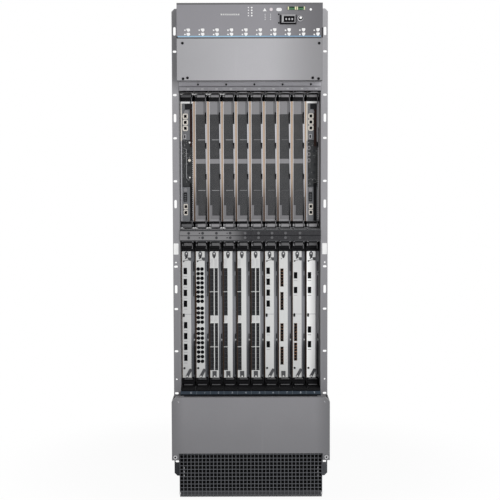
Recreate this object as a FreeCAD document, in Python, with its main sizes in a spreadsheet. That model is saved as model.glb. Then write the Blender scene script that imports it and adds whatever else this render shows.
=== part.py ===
# Rack router chassis: folded case, card cage with twenty cards, rear fan trays and power modules
# Millimetres, +Z up, front faces -Y, origin under the middle of the overall box
import FreeCAD
import Part
import Sketcher
import math
import os

SLOTS = 10
FANS_PER_TRAY = 2
FAN_BLADES = 7
POWER_MODULES = 9
GRILLE_COLUMNS = 24
GRILLE_ROWS = 8

# Driving dimensions: name, size in mm, what it sets
SIZES = [
    ("sheet", 2.0, "thickness of the folded sheet"),
    ("fit", 0.3, "clearance between pieces that slide or seat"),
    ("slot_pitch", 44.0, "width of one card slot"),
    ("flange_width", 19.3, "rack flange beside the case"),
    ("flange_sheet", 3.0, "thickness of the rack flange"),
    ("flange_leg", 60.0, "flange leg along the side wall"),
    ("flange_bottom", 45.0, "lower end of the flange"),
    ("flange_drop", 5.3, "upper end of the flange below the roof"),
    ("flange_corner", 9.0, "cut corner of the flange"),
    ("hole_inset", 8.74, "rack hole centre from the flange edge"),
    ("hole_start", 308.1, "first rack hole above the floor"),
    ("hole_pitch", 133.35, "three rack units between holes"),
    ("hole_low", 90.7, "lowest rack hole above the floor"),
    ("hole_half_width", 3.4, "half width of a rack hole"),
    ("hole_length", 11.5, "length of a rack hole"),
    ("slit_start", 637.1, "first upright slot above the floor"),
    ("slit_pitch", 266.7, "between upright slots"),
    ("slit_half_width", 4.0, "half width of an upright slot"),
    ("slit_length", 26.0, "length of an upright slot"),
    ("pin_hole_low", 352.6, "lower small hole above the floor"),
    ("pin_hole_high", 721.0, "upper small hole above the floor"),
    ("pin_hole_radius", 2.6, "small hole of the flange"),
    ("screw_reach", 6.0, "thumb screw heads in front of the lower cover"),
    ("cover_reach", 120.0, "lower cover in front of the flange"),
    ("craft_reach", 100.0, "status panel in front of the flange"),
    ("pan_overlap", 8.0, "front pans inside the side walls"),
    ("card_setback", 68.0, "card faces behind the flange"),
    ("card_length", 510.0, "card from face to connector end"),
    ("backplane_sheet", 6.0, "backplane thickness"),
    ("rear_bay", 198.0, "depth behind the backplane"),
    ("handle_reach", 30.0, "rear handles behind the case"),
    ("plenum_height", 322.0, "floor of the lower card bay"),
    ("line_bay", 464.5, "height of the lower card bay"),
    ("mid_shelf", 37.5, "height of the middle rail"),
    ("fabric_bay", 425.0, "height of the upper card bay"),
    ("upper_shelf", 31.5, "height of the upper rail"),
    ("power_cover", 128.8, "height of the plain cover"),
    ("craft_height", 102.0, "height of the status panel"),
    ("guide_depth", 4.0, "depth of a card guide groove"),
    ("shelf_sheet", 8.0, "thickness of a guide shelf"),
    ("rail_reach", 5.0, "rail fronts before the flange"),
    ("rail_sheet", 3.0, "thickness of a rail front"),
    ("bar_gap", 1.5, "line between the two middle bars"),
    ("label_split", 18.0, "upper rail: top of the label strip above the shelf"),
    ("label_run", 28.0, "depth of the slot number strip"),
    ("label_drop", 9.0, "fall of the slot number strip"),
    ("label_sheet", 2.5, "thickness of the slot number strip"),
    ("vent_inset", 45.0, "end margin of a shelf vent"),
    ("rear_margin", 16.0, "rear frame beside its windows"),
    ("rear_fold", 7.0, "fold at the rear of a side wall"),
    ("lip", 14.0, "folded lip of base and roof"),
    ("card_gap", 1.5, "card from the slot edge"),
    ("plate_depth", 24.0, "depth of a card face block"),
    ("line_plate", 29.0, "width of a line card faceplate"),
    ("line_low_zone", 24.3, "lever zone under a line faceplate"),
    ("line_high_zone", 35.6, "lever zone over a line faceplate"),
    ("carrier_set", 15.0, "carrier strip behind the faceplate"),
    ("fabric_low_zone", 22.5, "handle zone under an upper card face"),
    ("fabric_high_zone", 24.8, "handle zone over an upper card face"),
    ("frame_edge", 3.5, "raised edge of an upper card"),
    ("frame_rise", 4.0, "raised edge before the card face"),
    ("gasket", 1.2, "gasket at the side of an upper card"),
    ("mesh_top", 40.5, "plain part over the upper mesh"),
    ("mesh_cross", 14.8, "bar between the meshes"),
    ("mesh_high", 140.0, "height of the upper mesh"),
    ("mesh_base", 18.2, "plain part under the lower mesh"),
    ("mesh_notch", 32.5, "height of the corner block in the lower mesh"),
    ("mesh_notch_width", 7.0, "width of the corner block in the lower mesh"),
    ("mesh_sink", 6.0, "depth of a mesh window"),
    ("board_offset", 6.0, "board from the tray"),
    ("board_sheet", 2.4, "board thickness"),
    ("board_margin", 12.0, "board from the bay floor and ceiling"),
    ("sink_height", 22.0, "heat sink on the board"),
    ("sink_length", 120.0, "heat sink along the card"),
    ("sink_tall", 90.0, "heat sink up the card"),
    ("connector_depth", 12.0, "rear connectors of a card"),
    ("connector_width", 24.0, "width of the rear connectors"),
    ("connector_end", 60.0, "connectors from the bay ends"),
    ("port_sink", 3.0, "depth of a closed port"),
    ("cage_width", 10.2, "width of a single port"),
    ("cage_height", 18.8, "height of a single port"),
    ("cage_pitch", 34.9, "between single ports"),
    ("cage_wide_pitch", 47.0, "between single ports of a sparse card"),
    ("cage_x", 11.2, "single port from the faceplate edge"),
    ("cage_top", 60.3, "first single port under the faceplate top"),
    ("cage_wide_top", 74.0, "first single port of a sparse card"),
    ("cage_base", 67.4, "last single port over the faceplate foot"),
    ("cage_wide_base", 110.2, "last single port of a sparse card"),
    ("jack_width", 10.0, "width of a jack port"),
    ("jack_height", 11.0, "height of a jack port"),
    ("jack_pitch", 14.7, "between jack rows"),
    ("jack_x", 7.3, "first jack column from the faceplate edge"),
    ("jack_column", 12.8, "between jack columns"),
    ("jack_top", 56.2, "first jack row under the faceplate top"),
    ("jack_base", 54.6, "last jack row over the faceplate foot"),
    ("strip_x", 1.3, "port strip from the faceplate edge"),
    ("strip_width", 10.4, "width of a port strip"),
    ("strip_column", 13.2, "between port strips"),
    ("strip_height", 73.5, "height of a port strip"),
    ("strip_web", 1.8, "web between port strips"),
    ("strip_top", 52.4, "port strips under the faceplate top"),
    ("strip_base", 27.8, "port strips over the faceplate foot"),
    ("short_strip", 57.8, "height of a short port strip"),
    ("short_gap", 17.3, "between short port strips"),
    ("pair_gap", 3.5, "between a close pair of short port strips"),
    ("short_base", 42.8, "short port strips over the faceplate foot"),
    ("lever_gap", 0.4, "lever from its bracket ears"),
    ("ear", 2.5, "thickness of a bracket ear"),
    ("ear_reach", 8.0, "bracket ear before the card face"),
    ("ear_half", 6.5, "half height of a bracket ear"),
    ("bracket_set", 10.0, "lever bracket behind the card face"),
    ("pin_radius", 2.0, "lever pin"),
    ("pin_fit", 0.08, "lever bore around the pin"),
    ("boss_radius", 5.0, "round end of a lever"),
    ("pivot_rise", 6.0, "lever pin from the faceplate end"),
    ("pivot_reach", 2.0, "lever pin before the card face"),
    ("lever_half", 3.0, "half thickness of a lever"),
    ("lever_end", 3.0, "lever end from the shelf"),
    ("grip_reach", 12.0, "grip before the lever"),
    ("grip_high", 13.0, "height of an upper grip"),
    ("grip_low", 7.0, "height of a lower grip"),
    ("grip_inset", 5.0, "grip from the lever side"),
    ("grip_edge", 1.8, "cut front edges of a grip"),
    ("socket_width", 8.5, "width of a control card socket"),
    ("socket_height", 9.5, "height of a control card socket"),
    ("socket_depth", 14.0, "depth of a control card socket"),
    ("socket_rim", 2.2, "rim round a control card socket"),
    ("socket_rise", 1.5, "rim before the control card face"),
    ("socket_x", 14.5, "control card sockets from the card edge"),
    ("socket_top", 46.2, "first socket under the card top"),
    ("socket_pitch", 18.8, "between control card sockets"),
    ("socket_base", 27.9, "last socket over the card foot"),
    ("board_window_top", 121.5, "open window under the card top"),
    ("board_window_base", 108.7, "open window over the card foot"),
    ("key_width", 11.0, "width of a status key"),
    ("key_height", 9.6, "height of a status key"),
    ("key_rise", 2.0, "status keys before the panel"),
    ("key_first", 34.8, "first status key from the left wall"),
    ("key_pitch", 43.4, "between status keys"),
    ("key_row_low", 8.6, "lower key row over the panel foot"),
    ("key_row_gap", 12.9, "between key rows"),
    ("display_x", 117.0, "display centre right of the middle"),
    ("display_drop", 48.6, "display centre under the panel top"),
    ("display_width", 46.0, "display frame width"),
    ("display_height", 28.0, "display frame height"),
    ("display_border", 5.0, "display frame border"),
    ("display_rise", 5.0, "display frame before the panel"),
    ("terminal_width", 24.5, "terminal block width"),
    ("terminal_height", 8.8, "terminal block height"),
    ("terminal_rise", 6.0, "terminal block before the panel"),
    ("terminal_x", 114.5, "first terminal block right of the middle"),
    ("terminal_pitch", 27.0, "between terminal blocks"),
    ("terminal_drop", 16.4, "terminal blocks under the panel top"),
    ("knob_x", 152.0, "jack right of the middle"),
    ("knob_drop", 46.8, "jack under the panel top"),
    ("knob_radius", 6.5, "jack radius"),
    ("knob_bore", 3.5, "jack bore"),
    ("knob_rise", 5.0, "jack before the panel"),
    ("cover_overhang", 0.7, "lower cover beyond the flange"),
    ("cover_drop", 5.5, "lower cover top under the bay floor"),
    ("cover_foot", 143.0, "lower edge of the lower cover"),
    ("ear_foot", 122.0, "lower edge of the cover ears"),
    ("ear_width", 21.0, "width of a cover ear"),
    ("cover_corner", 14.0, "cut corner of the lower cover"),
    ("cover_lip", 30.0, "top lip of the lower cover"),
    ("thumb_radius", 5.5, "thumb screw head"),
    ("grille_height", 158.0, "height of the grille"),
    ("grille_border", 5.0, "border round the grille holes"),
    ("grille_bar", 3.2, "bar between grille holes"),
    ("grille_bend", 6.0, "radius of the bend under the grille"),
    ("fan_bay", 150.0, "depth of a fan tray in the case"),
    ("fan_overlap", 5.0, "fan tray face over the frame"),
    ("fan_middle", 16.0, "frame between left and right fan trays"),
    ("fan_radius", 84.0, "fan opening"),
    ("fan_ring", 5.0, "wall of the fan ring"),
    ("fan_depth", 44.0, "depth of the fan ring"),
    ("hub_radius", 32.0, "fan hub"),
    ("blade_chord", 36.0, "fan blade width"),
    ("blade_sheet", 2.5, "fan blade thickness"),
    ("spoke", 6.0, "fan spoke width"),
    ("handle_width", 100.0, "rear handle width"),
    ("handle_bar", 8.0, "rear handle bar"),
    ("module_gap", 1.0, "between power modules"),
    ("module_bay", 180.0, "depth of a power module in the case"),
    ("module_face", 3.0, "thickness of a power module face"),
    ("tab_width", 6.0, "pull tab of a power module"),
    ("tab_height", 46.0, "height of a pull tab"),
    ("tab_reach", 24.0, "pull tab behind the module"),
    ("inlet_width", 26.0, "inlet of a power module"),
    ("inlet_height", 22.0, "height of an inlet"),
    ("inlet_depth", 18.0, "depth of an inlet"),
    ("inlet_wall", 2.0, "wall round an inlet"),
    ("inlet_rise", 24.0, "inlet over the module foot"),
]


class Size:
    """A number that also carries the sheet expression it comes from."""

    def __init__(self, value, text):
        self.value = value
        self.text = text

    @staticmethod
    def of(number):
        return number if isinstance(number, Size) else Size(number, repr(number))

    def __add__(self, other):
        other = Size.of(other)
        return Size(self.value + other.value, f"({self.text} + {other.text})")

    def __sub__(self, other):
        other = Size.of(other)
        return Size(self.value - other.value, f"({self.text} - {other.text})")

    def __mul__(self, other):
        other = Size.of(other)
        return Size(self.value * other.value, f"({self.text} * {other.text})")

    def __truediv__(self, other):
        other = Size.of(other)
        return Size(self.value / other.value, f"({self.text} / {other.text})")

    def __radd__(self, other):
        return Size.of(other) + self

    def __rsub__(self, other):
        return Size.of(other) - self

    def __rmul__(self, other):
        return Size.of(other) * self

    def __neg__(self):
        return 0 - self


class Dimensions:
    """The sheet's sizes, one attribute for each alias."""


doc = FreeCAD.newDocument("router_chassis")
sheet = doc.addObject("Spreadsheet::Sheet", "dims")
d = Dimensions()
for row, (name, size, note) in enumerate(SIZES, start=1):
    sheet.set(f"A{row}", name)
    sheet.set(f"B{row}", str(size))
    sheet.set(f"C{row}", note)
    sheet.setAlias(f"B{row}", name)
    setattr(d, name, Size(size, f"dims.{name}"))
doc.recompute()
nodes = []


# Small builders
def bind(thing, prop, size):
    """Tie one property to the sheet."""
    thing.setExpression(prop, Size.of(size).text)


def place(thing, x, y, z):
    for axis, size in zip("xyz", (x, y, z)):
        bind(thing, f"Placement.Base.{axis}", size)


def node(label, thing):
    """Name a finished sub-part for export."""
    thing.Label = label
    nodes.append(thing)
    return thing


def box(x, y, z):
    """Block between low and high limits on each axis."""
    block = doc.addObject("Part::Box", "block")
    for prop, (low, high) in zip(("Length", "Width", "Height"), (x, y, z)):
        bind(block, prop, Size.of(high) - low)
    place(block, x[0], y[0], z[0])
    return block


TURN = {
    "x": FreeCAD.Rotation(FreeCAD.Vector(0, 1, 0), 90),
    "y": FreeCAD.Rotation(FreeCAD.Vector(1, 0, 0), -90),
}


def rod(axis, radius, length, x, y, z):
    """Cylinder that starts at a point and runs along +X or +Y."""
    round_bar = doc.addObject("Part::Cylinder", "rod")
    bind(round_bar, "Radius", radius)
    bind(round_bar, "Height", length)
    round_bar.Placement = FreeCAD.Placement(FreeCAD.Vector(), TURN[axis])
    place(round_bar, x, y, z)
    return round_bar


def fuse(*pieces):
    whole = doc.addObject("Part::MultiFuse", "whole")
    whole.Shapes = list(pieces)
    whole.Refine = True
    return whole


def group(*pieces):
    """Separate solids kept together as one object."""
    bundle = doc.addObject("Part::Compound", "bundle")
    bundle.Links = list(pieces)
    return bundle


def cut(base, *tools):
    rest = doc.addObject("Part::Cut", "rest")
    rest.Base = base
    rest.Tool = tools[0] if len(tools) == 1 else group(*tools)
    rest.Refine = True
    return rest


def origin_part(body, role):
    return next(part for part in body.Origin.OriginFeatures if part.Role == role)


def sketch(body, plane, *loops):
    """Closed straight-sided loops on a body plane, each corner tied to the sheet."""
    outline = body.newObject("Sketcher::SketchObject", "outline")
    outline.AttachmentSupport = [(origin_part(body, plane), "")]
    outline.MapMode = "FlatFace"
    for loop in loops:
        first = outline.GeometryCount
        corners = [(Size.of(u), Size.of(v)) for u, v in loop]
        points = [FreeCAD.Vector(u.value, v.value, 0) for u, v in corners]
        for start, end in zip(points, points[1:] + points[:1]):
            outline.addGeometry(Part.LineSegment(start, end), False)
        for index, corner in enumerate(corners):
            line = first + index
            following = first + (index + 1) % len(corners)
            outline.addConstraint(Sketcher.Constraint("Coincident", line, 2, following, 1))
            for kind, axis, size in zip(("DistanceX", "DistanceY"), (-2, -1), corner):
                if size.value == 0:
                    outline.addConstraint(Sketcher.Constraint("PointOnObject", line, 1, axis))
                else:
                    tie = outline.addConstraint(Sketcher.Constraint(kind, -1, 1, line, 1, size.value))
                    bind(outline, f"Constraints[{tie}]", size)
    return outline


def rectangle(u, v):
    """Corners of a rectangle between low and high limits."""
    return [(u[0], v[0]), (u[1], v[0]), (u[1], v[1]), (u[0], v[1])]


def body_at(x, y, z):
    body = doc.addObject("PartDesign::Body", "body")
    place(body, x, y, z)
    return body


def pad(body, plane, length, *loops):
    """Raise loops along the plane's positive axis; the XZ plane faces -Y, so it is reversed."""
    raised = body.newObject("PartDesign::Pad", "pad")
    raised.Profile = sketch(body, plane, *loops)
    bind(raised, "Length", length)
    raised.Reversed = plane == "XZ_Plane"
    body.Tip = raised
    return raised


def pocket(body, plane, *loops):
    """Cut loops through the whole body."""
    sunk = body.newObject("PartDesign::Pocket", "pocket")
    sunk.Profile = sketch(body, plane, *loops)
    sunk.Type = "ThroughAll"
    sunk.Reversed = plane != "XZ_Plane"
    body.Tip = sunk
    return sunk


def repeat(body, feature, axis, pitch, count):
    """Copies of a feature along one of the body's axes."""
    row = body.newObject("PartDesign::LinearPattern", "row")
    row.Originals = [feature]
    row.Direction = (origin_part(body, axis), [""])
    bind(row, "Length", Size.of(pitch) * (count - 1))
    row.Occurrences = count
    body.Tip = row
    return row


# Shared levels
inner = d.slot_pitch * SLOTS / 2
outer = inner + d.sheet
flange_edge = outer + d.flange_width
case_depth = d.card_setback + d.card_length + d.fit + d.backplane_sheet + d.rear_bay
front = -(d.screw_reach + d.cover_reach + case_depth + d.handle_reach) / 2
y_cover = front + d.screw_reach
y_flange = y_cover + d.cover_reach
y_craft = y_flange - d.craft_reach
y_rail = y_flange - d.rail_reach
y_case = y_flange + d.pan_overlap
y_face = y_flange + d.card_setback
y_card_end = y_face + d.card_length
y_backplane = y_card_end + d.fit
y_rear = y_flange + case_depth
z_line = d.plenum_height
z_mid = z_line + d.line_bay
z_fabric = z_mid + d.mid_shelf
z_upper = z_fabric + d.fabric_bay
z_power = z_upper + d.upper_shelf
z_craft = z_power + d.power_cover
z_top = z_craft + d.craft_height


def slot_x(slot):
    """Left edge of a card slot."""
    return d.slot_pitch * slot - inner


# Case
def side_wall(label, side):
    """Sheet with a fold at the rear; side is -1 for left and 1 for right."""
    depth = y_rear - y_flange
    body = body_at(-outer if side < 0 else inner - d.rear_fold, y_flange, Size.of(0))
    wide = d.rear_fold + d.sheet
    if side < 0:
        fold = [(0, 0), (d.sheet, 0), (d.sheet, depth - d.sheet), (wide, depth - d.sheet), (wide, depth), (0, depth)]
    else:
        fold = [(d.rear_fold, 0), (wide, 0), (wide, depth), (0, depth),
                (0, depth - d.sheet), (d.rear_fold, depth - d.sheet)]
    pad(body, "XY_Plane", z_top, fold)
    node(label, body)


def roof_panel():
    """Top sheet with a lip hanging down behind the status panel."""
    depth = y_rear - d.sheet - y_case
    body = body_at(-inner, y_case, z_top - d.lip)
    turned = [(0, 0), (d.sheet, 0), (d.sheet, d.lip - d.sheet), (depth, d.lip - d.sheet),
              (depth, d.lip), (0, d.lip)]
    pad(body, "YZ_Plane", inner * 2, turned)
    node("roof_panel", body)


def base_pan():
    """Bottom sheet with a lip standing up behind the grille."""
    depth = y_rear - d.sheet - y_case
    body = body_at(-inner, y_case, Size.of(0))
    turned = [(0, 0), (depth, 0), (depth, d.sheet), (d.sheet, d.sheet), (d.sheet, d.lip), (0, d.lip)]
    pad(body, "YZ_Plane", inner * 2, turned)
    node("base_pan", body)


fan_rows = {
    "lower": (z_line + d.rear_margin, z_mid),
    "upper": (z_fabric, z_upper - d.rear_margin),
}
fan_columns = {
    "left": (-inner + d.rear_margin, -d.fan_middle / 2),
    "right": (d.fan_middle / 2, inner - d.rear_margin),
}
power_window = (z_power + d.rear_margin, z_top - d.sheet - d.rear_margin)


def rear_frame():
    """Rear sheet with a window for each fan tray and one for the power modules."""
    low = d.sheet
    body = body_at(-inner, y_rear - d.sheet * 2, low)
    windows = []
    for rise in fan_rows.values():
        for run in fan_columns.values():
            windows.append(rectangle([x + inner for x in run], [z - low for z in rise]))
    module_run = (d.rear_margin, inner * 2 - d.rear_margin)
    windows.append(rectangle(module_run, [z - low for z in power_window]))
    pad(body, "XZ_Plane", d.sheet, rectangle((0, inner * 2), (0, z_top - d.sheet - low)), *windows)
    node("rear_frame", body)


def backplane():
    """Board across the rear of both card bays."""
    panel = box((-inner, inner), (y_backplane, y_backplane + d.backplane_sheet), (z_line - d.shelf_sheet, z_upper))
    node("backplane", panel)


# Rack flanges
def slot_hole(along_x, half_width, length, x, z):
    """Round-ended hole through the flange."""
    straight = length / 2 - half_width
    depth = (y_flange - d.sheet, y_flange + d.flange_sheet + d.sheet)
    span = depth[1] - depth[0]
    if along_x:
        middle = box((x - straight, x + straight), depth, (z - half_width, z + half_width))
        ends = [(x - straight, z), (x + straight, z)]
    else:
        middle = box((x - half_width, x + half_width), depth, (z - straight, z + straight))
        ends = [(x, z - straight), (x, z + straight)]
    return fuse(middle, *[rod("y", half_width, span, u, depth[0], v) for u, v in ends])


def rack_flange(label, side):
    """Angle bracket with cut outer corners, oval holes and upright slots."""
    low = d.flange_bottom
    tall = z_top - d.flange_drop - low
    wide = d.flange_width
    c = d.flange_corner
    if side < 0:
        body = body_at(-flange_edge, y_flange, low)
        face = [(c, 0), (wide, 0), (wide, tall), (c, tall), (0, tall - c), (0, c)]
    else:
        body = body_at(outer, y_flange, low)
        face = [(0, 0), (wide - c, 0), (wide, c), (wide, tall - c), (wide - c, tall), (0, tall)]
    pad(body, "XZ_Plane", d.flange_sheet, face)
    leg_x = (-outer - d.flange_sheet, -outer) if side < 0 else (outer, outer + d.flange_sheet)
    leg = box(leg_x, (y_flange, y_flange + d.flange_leg), (low + c, low + tall - c))
    x = (flange_edge - d.hole_inset) * side
    rack_holes = [d.hole_low] + [d.hole_start + d.hole_pitch * k for k in (0, 1, 2, 3, 5, 6, 7, 8)]
    holes = [slot_hole(True, d.hole_half_width, d.hole_length, x, z) for z in rack_holes]
    for k in range(4):
        holes.append(slot_hole(False, d.slit_half_width, d.slit_length, x, d.slit_start + d.slit_pitch * k))
    for z in (d.pin_hole_low, d.pin_hole_high):
        holes.append(rod("y", d.pin_hole_radius, d.flange_sheet * 3, x, y_flange - d.flange_sheet, z))
    node(label, cut(fuse(body, leg), *holes))


# Front pans
def pan(low, high, closed_low, closed_high):
    """Front sheet folded back to the case on both sides, and below or above where it is closed."""
    shell = box((-inner, inner), (y_craft, y_case), (low, high))
    hollow_low = low + d.sheet if closed_low else low - d.sheet
    hollow_high = high - d.sheet if closed_high else high + d.sheet
    hollow = box((d.sheet - inner, inner - d.sheet), (y_craft + d.sheet, y_case + d.sheet), (hollow_low, hollow_high))
    return cut(shell, hollow)


def key_row(low):
    """A row of shield-shaped keys, one for each slot."""
    keys = []
    half = d.key_width / 2
    for slot in range(SLOTS):
        x = d.key_first + d.key_pitch * slot - inner
        body = body_at(x - half, y_craft - d.key_rise, low)
        hip = d.key_height * 0.35
        shoulder = d.key_height * 0.7
        pad(body, "XZ_Plane", d.key_rise, [(half * 0.8, 0), (half * 1.2, 0), (half * 1.75, hip),
                                           (d.key_width, shoulder), (half * 1.8, d.key_height),
                                           (half * 0.2, d.key_height), (0, shoulder), (half * 0.25, hip)])
        keys.append(body)
    return keys


def craft_panel():
    """Status panel with its keys, display frame, terminal blocks and jack."""
    raised = []
    for row in range(2):
        raised += key_row(z_craft + d.key_row_low - d.key_height / 2 + d.key_row_gap * row)
    z = z_top - d.display_drop
    half_wide = d.display_width / 2
    half_high = d.display_height / 2
    rim = box((d.display_x - half_wide, d.display_x + half_wide), (y_craft - d.display_rise, y_craft),
              (z - half_high, z + half_high))
    edge = d.display_border
    glass = box((d.display_x - half_wide + edge, d.display_x + half_wide - edge),
                (y_craft - d.display_rise * 2, y_craft - d.display_rise / 2),
                (z - half_high + edge, z + half_high - edge))
    raised.append(cut(rim, glass))
    z = z_top - d.terminal_drop
    for block in range(2):
        x = d.terminal_x + d.terminal_pitch * block
        raised.append(box((x, x + d.terminal_width), (y_craft - d.terminal_rise, y_craft),
                          (z - d.terminal_height / 2, z + d.terminal_height / 2)))
    z = z_top - d.knob_drop
    knob = rod("y", d.knob_radius, d.knob_rise, d.knob_x, y_craft - d.knob_rise, z)
    bore = rod("y", d.knob_bore, d.knob_rise, d.knob_x, y_craft - d.knob_rise * 1.2, z)
    raised.append(cut(knob, bore))
    node("craft_panel", fuse(pan(z_craft, z_top, False, True), *raised))


def intake_grille():
    """Perforated pan at the foot, its lower edge bent under."""
    body = body_at(-inner, y_craft, Size.of(0))
    wide = inner * 2
    depth = y_case - y_craft
    bend = d.grille_bend
    fold = [(0, bend), (bend, 0), (depth, 0), (depth, d.sheet), (bend + d.sheet / 2, d.sheet),
            (d.sheet, bend + d.sheet / 2), (d.sheet, d.grille_height), (0, d.grille_height)]
    pad(body, "YZ_Plane", wide, fold)
    column = (wide - d.grille_border * 2 + d.grille_bar) / GRILLE_COLUMNS
    row = (d.grille_height - bend - d.grille_border + d.grille_bar) / GRILLE_ROWS
    holes = []
    for index in range(GRILLE_ROWS):
        low = bend + d.sheet + row * index
        holes.append(rectangle((d.grille_border, d.grille_border + column - d.grille_bar), (low, low + row - d.grille_bar)))
    punched = pocket(body, "XZ_Plane", *holes)
    repeat(body, punched, "X_Axis", column, GRILLE_COLUMNS)
    ends = []
    for x in ((-inner, d.sheet - inner), (inner - d.sheet, inner)):
        ends.append(box(x, (y_craft + d.sheet, y_case), (bend + d.sheet, d.grille_height)))
    node("intake_grille", fuse(body, *ends))


def lower_air_cover():
    """Hood over the intake: front sheet with ears and cut corners, open on top behind its lip, two thumb screws."""
    half = flange_edge + d.cover_overhang
    wide = half * 2
    tall = z_line - d.cover_drop - d.ear_foot
    c = d.cover_corner
    t = d.sheet
    step = d.cover_foot - d.ear_foot
    depth = d.cover_reach
    face = [(0, 0), (d.ear_width, 0), (d.ear_width, step), (wide - d.ear_width, step), (wide - d.ear_width, 0),
            (wide, 0), (wide, tall - c), (wide - c, tall), (c, tall), (0, tall - c)]
    bevel = t * (2 - math.sqrt(2))
    hood = [(0, 0), (t, 0), (t, tall - c - t + bevel), (c + t - bevel, tall - t), (wide - c - t + bevel, tall - t),
            (wide - t, tall - c - t + bevel), (wide - t, 0), (wide, 0), (wide, tall - c), (wide - c, tall),
            (c, tall), (0, tall - c)]
    body = body_at(-half, y_cover, d.ear_foot)
    pad(body, "XZ_Plane", t, face)
    pad(body, "XZ_Plane", depth, hood)
    open_top = box((-half - t, half + t), (y_cover + d.cover_lip, y_flange + t),
                   (d.ear_foot + tall - c, d.ear_foot + tall + t))
    screws = []
    z = d.ear_foot + step / 2
    for x in (d.ear_width / 2 - half, half - d.ear_width / 2):
        screws.append(rod("y", d.thumb_radius, d.screw_reach, x, front, z))
    node("lower_air_cover", fuse(cut(body, open_top), *screws))


# Card rails
def guides(base, tops, bottoms):
    """Cut card guide grooves down from the given tops and up from the given bottoms, and a vent for each slot."""
    run = (y_rail - d.sheet, y_backplane + d.sheet)
    vent_run = (y_face + d.vent_inset, y_backplane - d.vent_inset)
    tools = []
    for slot in range(SLOTS):
        x = slot_x(slot)
        groove = (x + d.card_gap - d.fit, x + d.card_gap + d.sheet + d.fit)
        for level in tops:
            tools.append(box(groove, run, (level - d.guide_depth, level + d.sheet)))
        for level in bottoms:
            tools.append(box(groove, run, (level - d.sheet, level + d.guide_depth)))
        levels = tops + bottoms
        vent = (x + d.card_gap + d.sheet * 3, x + d.slot_pitch - d.sheet * 2)
        for level in levels:
            tools.append(box(vent, vent_run, (level - d.shelf_sheet * 1.2, level + d.shelf_sheet * 1.2)))
    return cut(base, *tools)


def upper_card_rail():
    depth = y_backplane - y_rail
    step = d.rail_sheet
    split = d.label_split
    low = d.guide_depth + d.fit * 2
    front_strip = [(0, low), (step, low), (step, 0), (depth, 0), (depth, d.shelf_sheet),
                   (step * 2, d.shelf_sheet), (step * 2, d.upper_shelf), (step, d.upper_shelf), (step, split), (0, split)]
    body = body_at(-inner, y_rail, z_upper)
    pad(body, "YZ_Plane", inner * 2, front_strip)
    node("upper_card_rail", guides(body, [], [z_upper]))


def mid_card_rail():
    depth = y_backplane - y_rail
    step = d.rail_sheet
    tall = d.mid_shelf
    low = d.guide_depth + d.fit * 2
    high = tall - low
    wall = step * 2
    middle = tall / 2
    channel = [(0, low), (step, low), (step, 0), (depth, 0), (depth, d.shelf_sheet), (wall, d.shelf_sheet),
               (wall, tall - d.shelf_sheet), (depth, tall - d.shelf_sheet), (depth, tall), (step, tall), (step, high),
               (0, high), (0, middle + d.bar_gap / 2), (d.bar_gap, middle), (0, middle - d.bar_gap / 2)]
    body = body_at(-inner, y_rail, z_mid)
    pad(body, "YZ_Plane", inner * 2, channel)
    node("mid_card_rail", guides(body, [z_fabric], [z_mid]))


def lower_card_rail():
    """Guide shelf with the sloping strip of slot numbers in front."""
    depth = y_backplane - y_flange
    drop = d.label_drop
    shelf_low = drop
    shelf_high = drop + d.shelf_sheet
    neck = shelf_high - d.guide_depth - d.fit * 2
    run = d.label_run
    slope = [(0, 0), (run, shelf_low), (run + depth, shelf_low), (run + depth, shelf_high), (run, shelf_high),
             (run, neck), (0, d.label_sheet)]
    body = body_at(-inner, y_flange - run, z_line - shelf_high)
    pad(body, "YZ_Plane", inner * 2, slope)
    node("lower_card_rail", guides(body, [z_line], []))


# Cards
def card_inside(slot, floor, ceiling):
    """Tray in its guides, board, heat sinks and rear connectors."""
    x = slot_x(slot) + d.card_gap
    board = x + d.board_offset
    top_of_board = board + d.board_sheet
    back = y_face + d.plate_depth
    clear = d.guide_depth - d.fit
    tray = box((x, x + d.sheet), (y_face, y_card_end), (floor - clear, ceiling + clear))
    card = box((board, top_of_board), (back, y_card_end - d.connector_depth),
               (floor + d.board_margin, ceiling - d.board_margin))
    plugs = box((x, x + d.connector_width), (y_card_end - d.connector_depth, y_card_end),
                (floor + d.connector_end, ceiling - d.connector_end))
    middle = (floor + ceiling) / 2
    sinks = []
    for side in (-1, 1):
        z = middle + d.sink_tall * side
        y = y_face + d.card_length / 2
        sinks.append(box((top_of_board, top_of_board + d.sink_height), (y - d.sink_length / 2, y + d.sink_length / 2),
                         (z - d.sink_tall / 2, z + d.sink_tall / 2)))
    return [tray, card, plugs] + sinks


def column(x, width, height, z, pitch, count):
    """Closed ports in a column, first one centred at z and the rest pitch apart."""
    depth = (y_face - d.sheet, y_face + d.port_sink)
    ports = []
    for index in range(count):
        middle = z + pitch * index
        ports.append(box((x, x + width), depth, (middle - height / 2, middle + height / 2)))
    return ports


def single_ports(x, high, low, upper, lower):
    """Single ports of the upper and lower half; each is a first place, a pitch and a count."""
    left = x + d.cage_x - d.cage_width / 2
    top, top_pitch, top_count = upper
    base, base_pitch, base_count = lower
    ports = column(left, d.cage_width, d.cage_height, high - top, -top_pitch, top_count)
    return ports + column(left, d.cage_width, d.cage_height, low + base, base_pitch, base_count)


def jack_ports(x, high, low):
    """Two columns of jacks: eight rows above, four in the middle, eight below."""
    middle = (high + low) / 2 - d.jack_pitch * 1.5
    ports = []
    for index in range(2):
        left = x + d.jack_x + d.jack_column * index - d.jack_width / 2
        for start, count in ((low + d.jack_base, 8), (middle, 4), (high - d.jack_top - d.jack_pitch * 7, 8)):
            ports += column(left, d.jack_width, d.jack_height, start, d.jack_pitch, count)
    return ports


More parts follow.
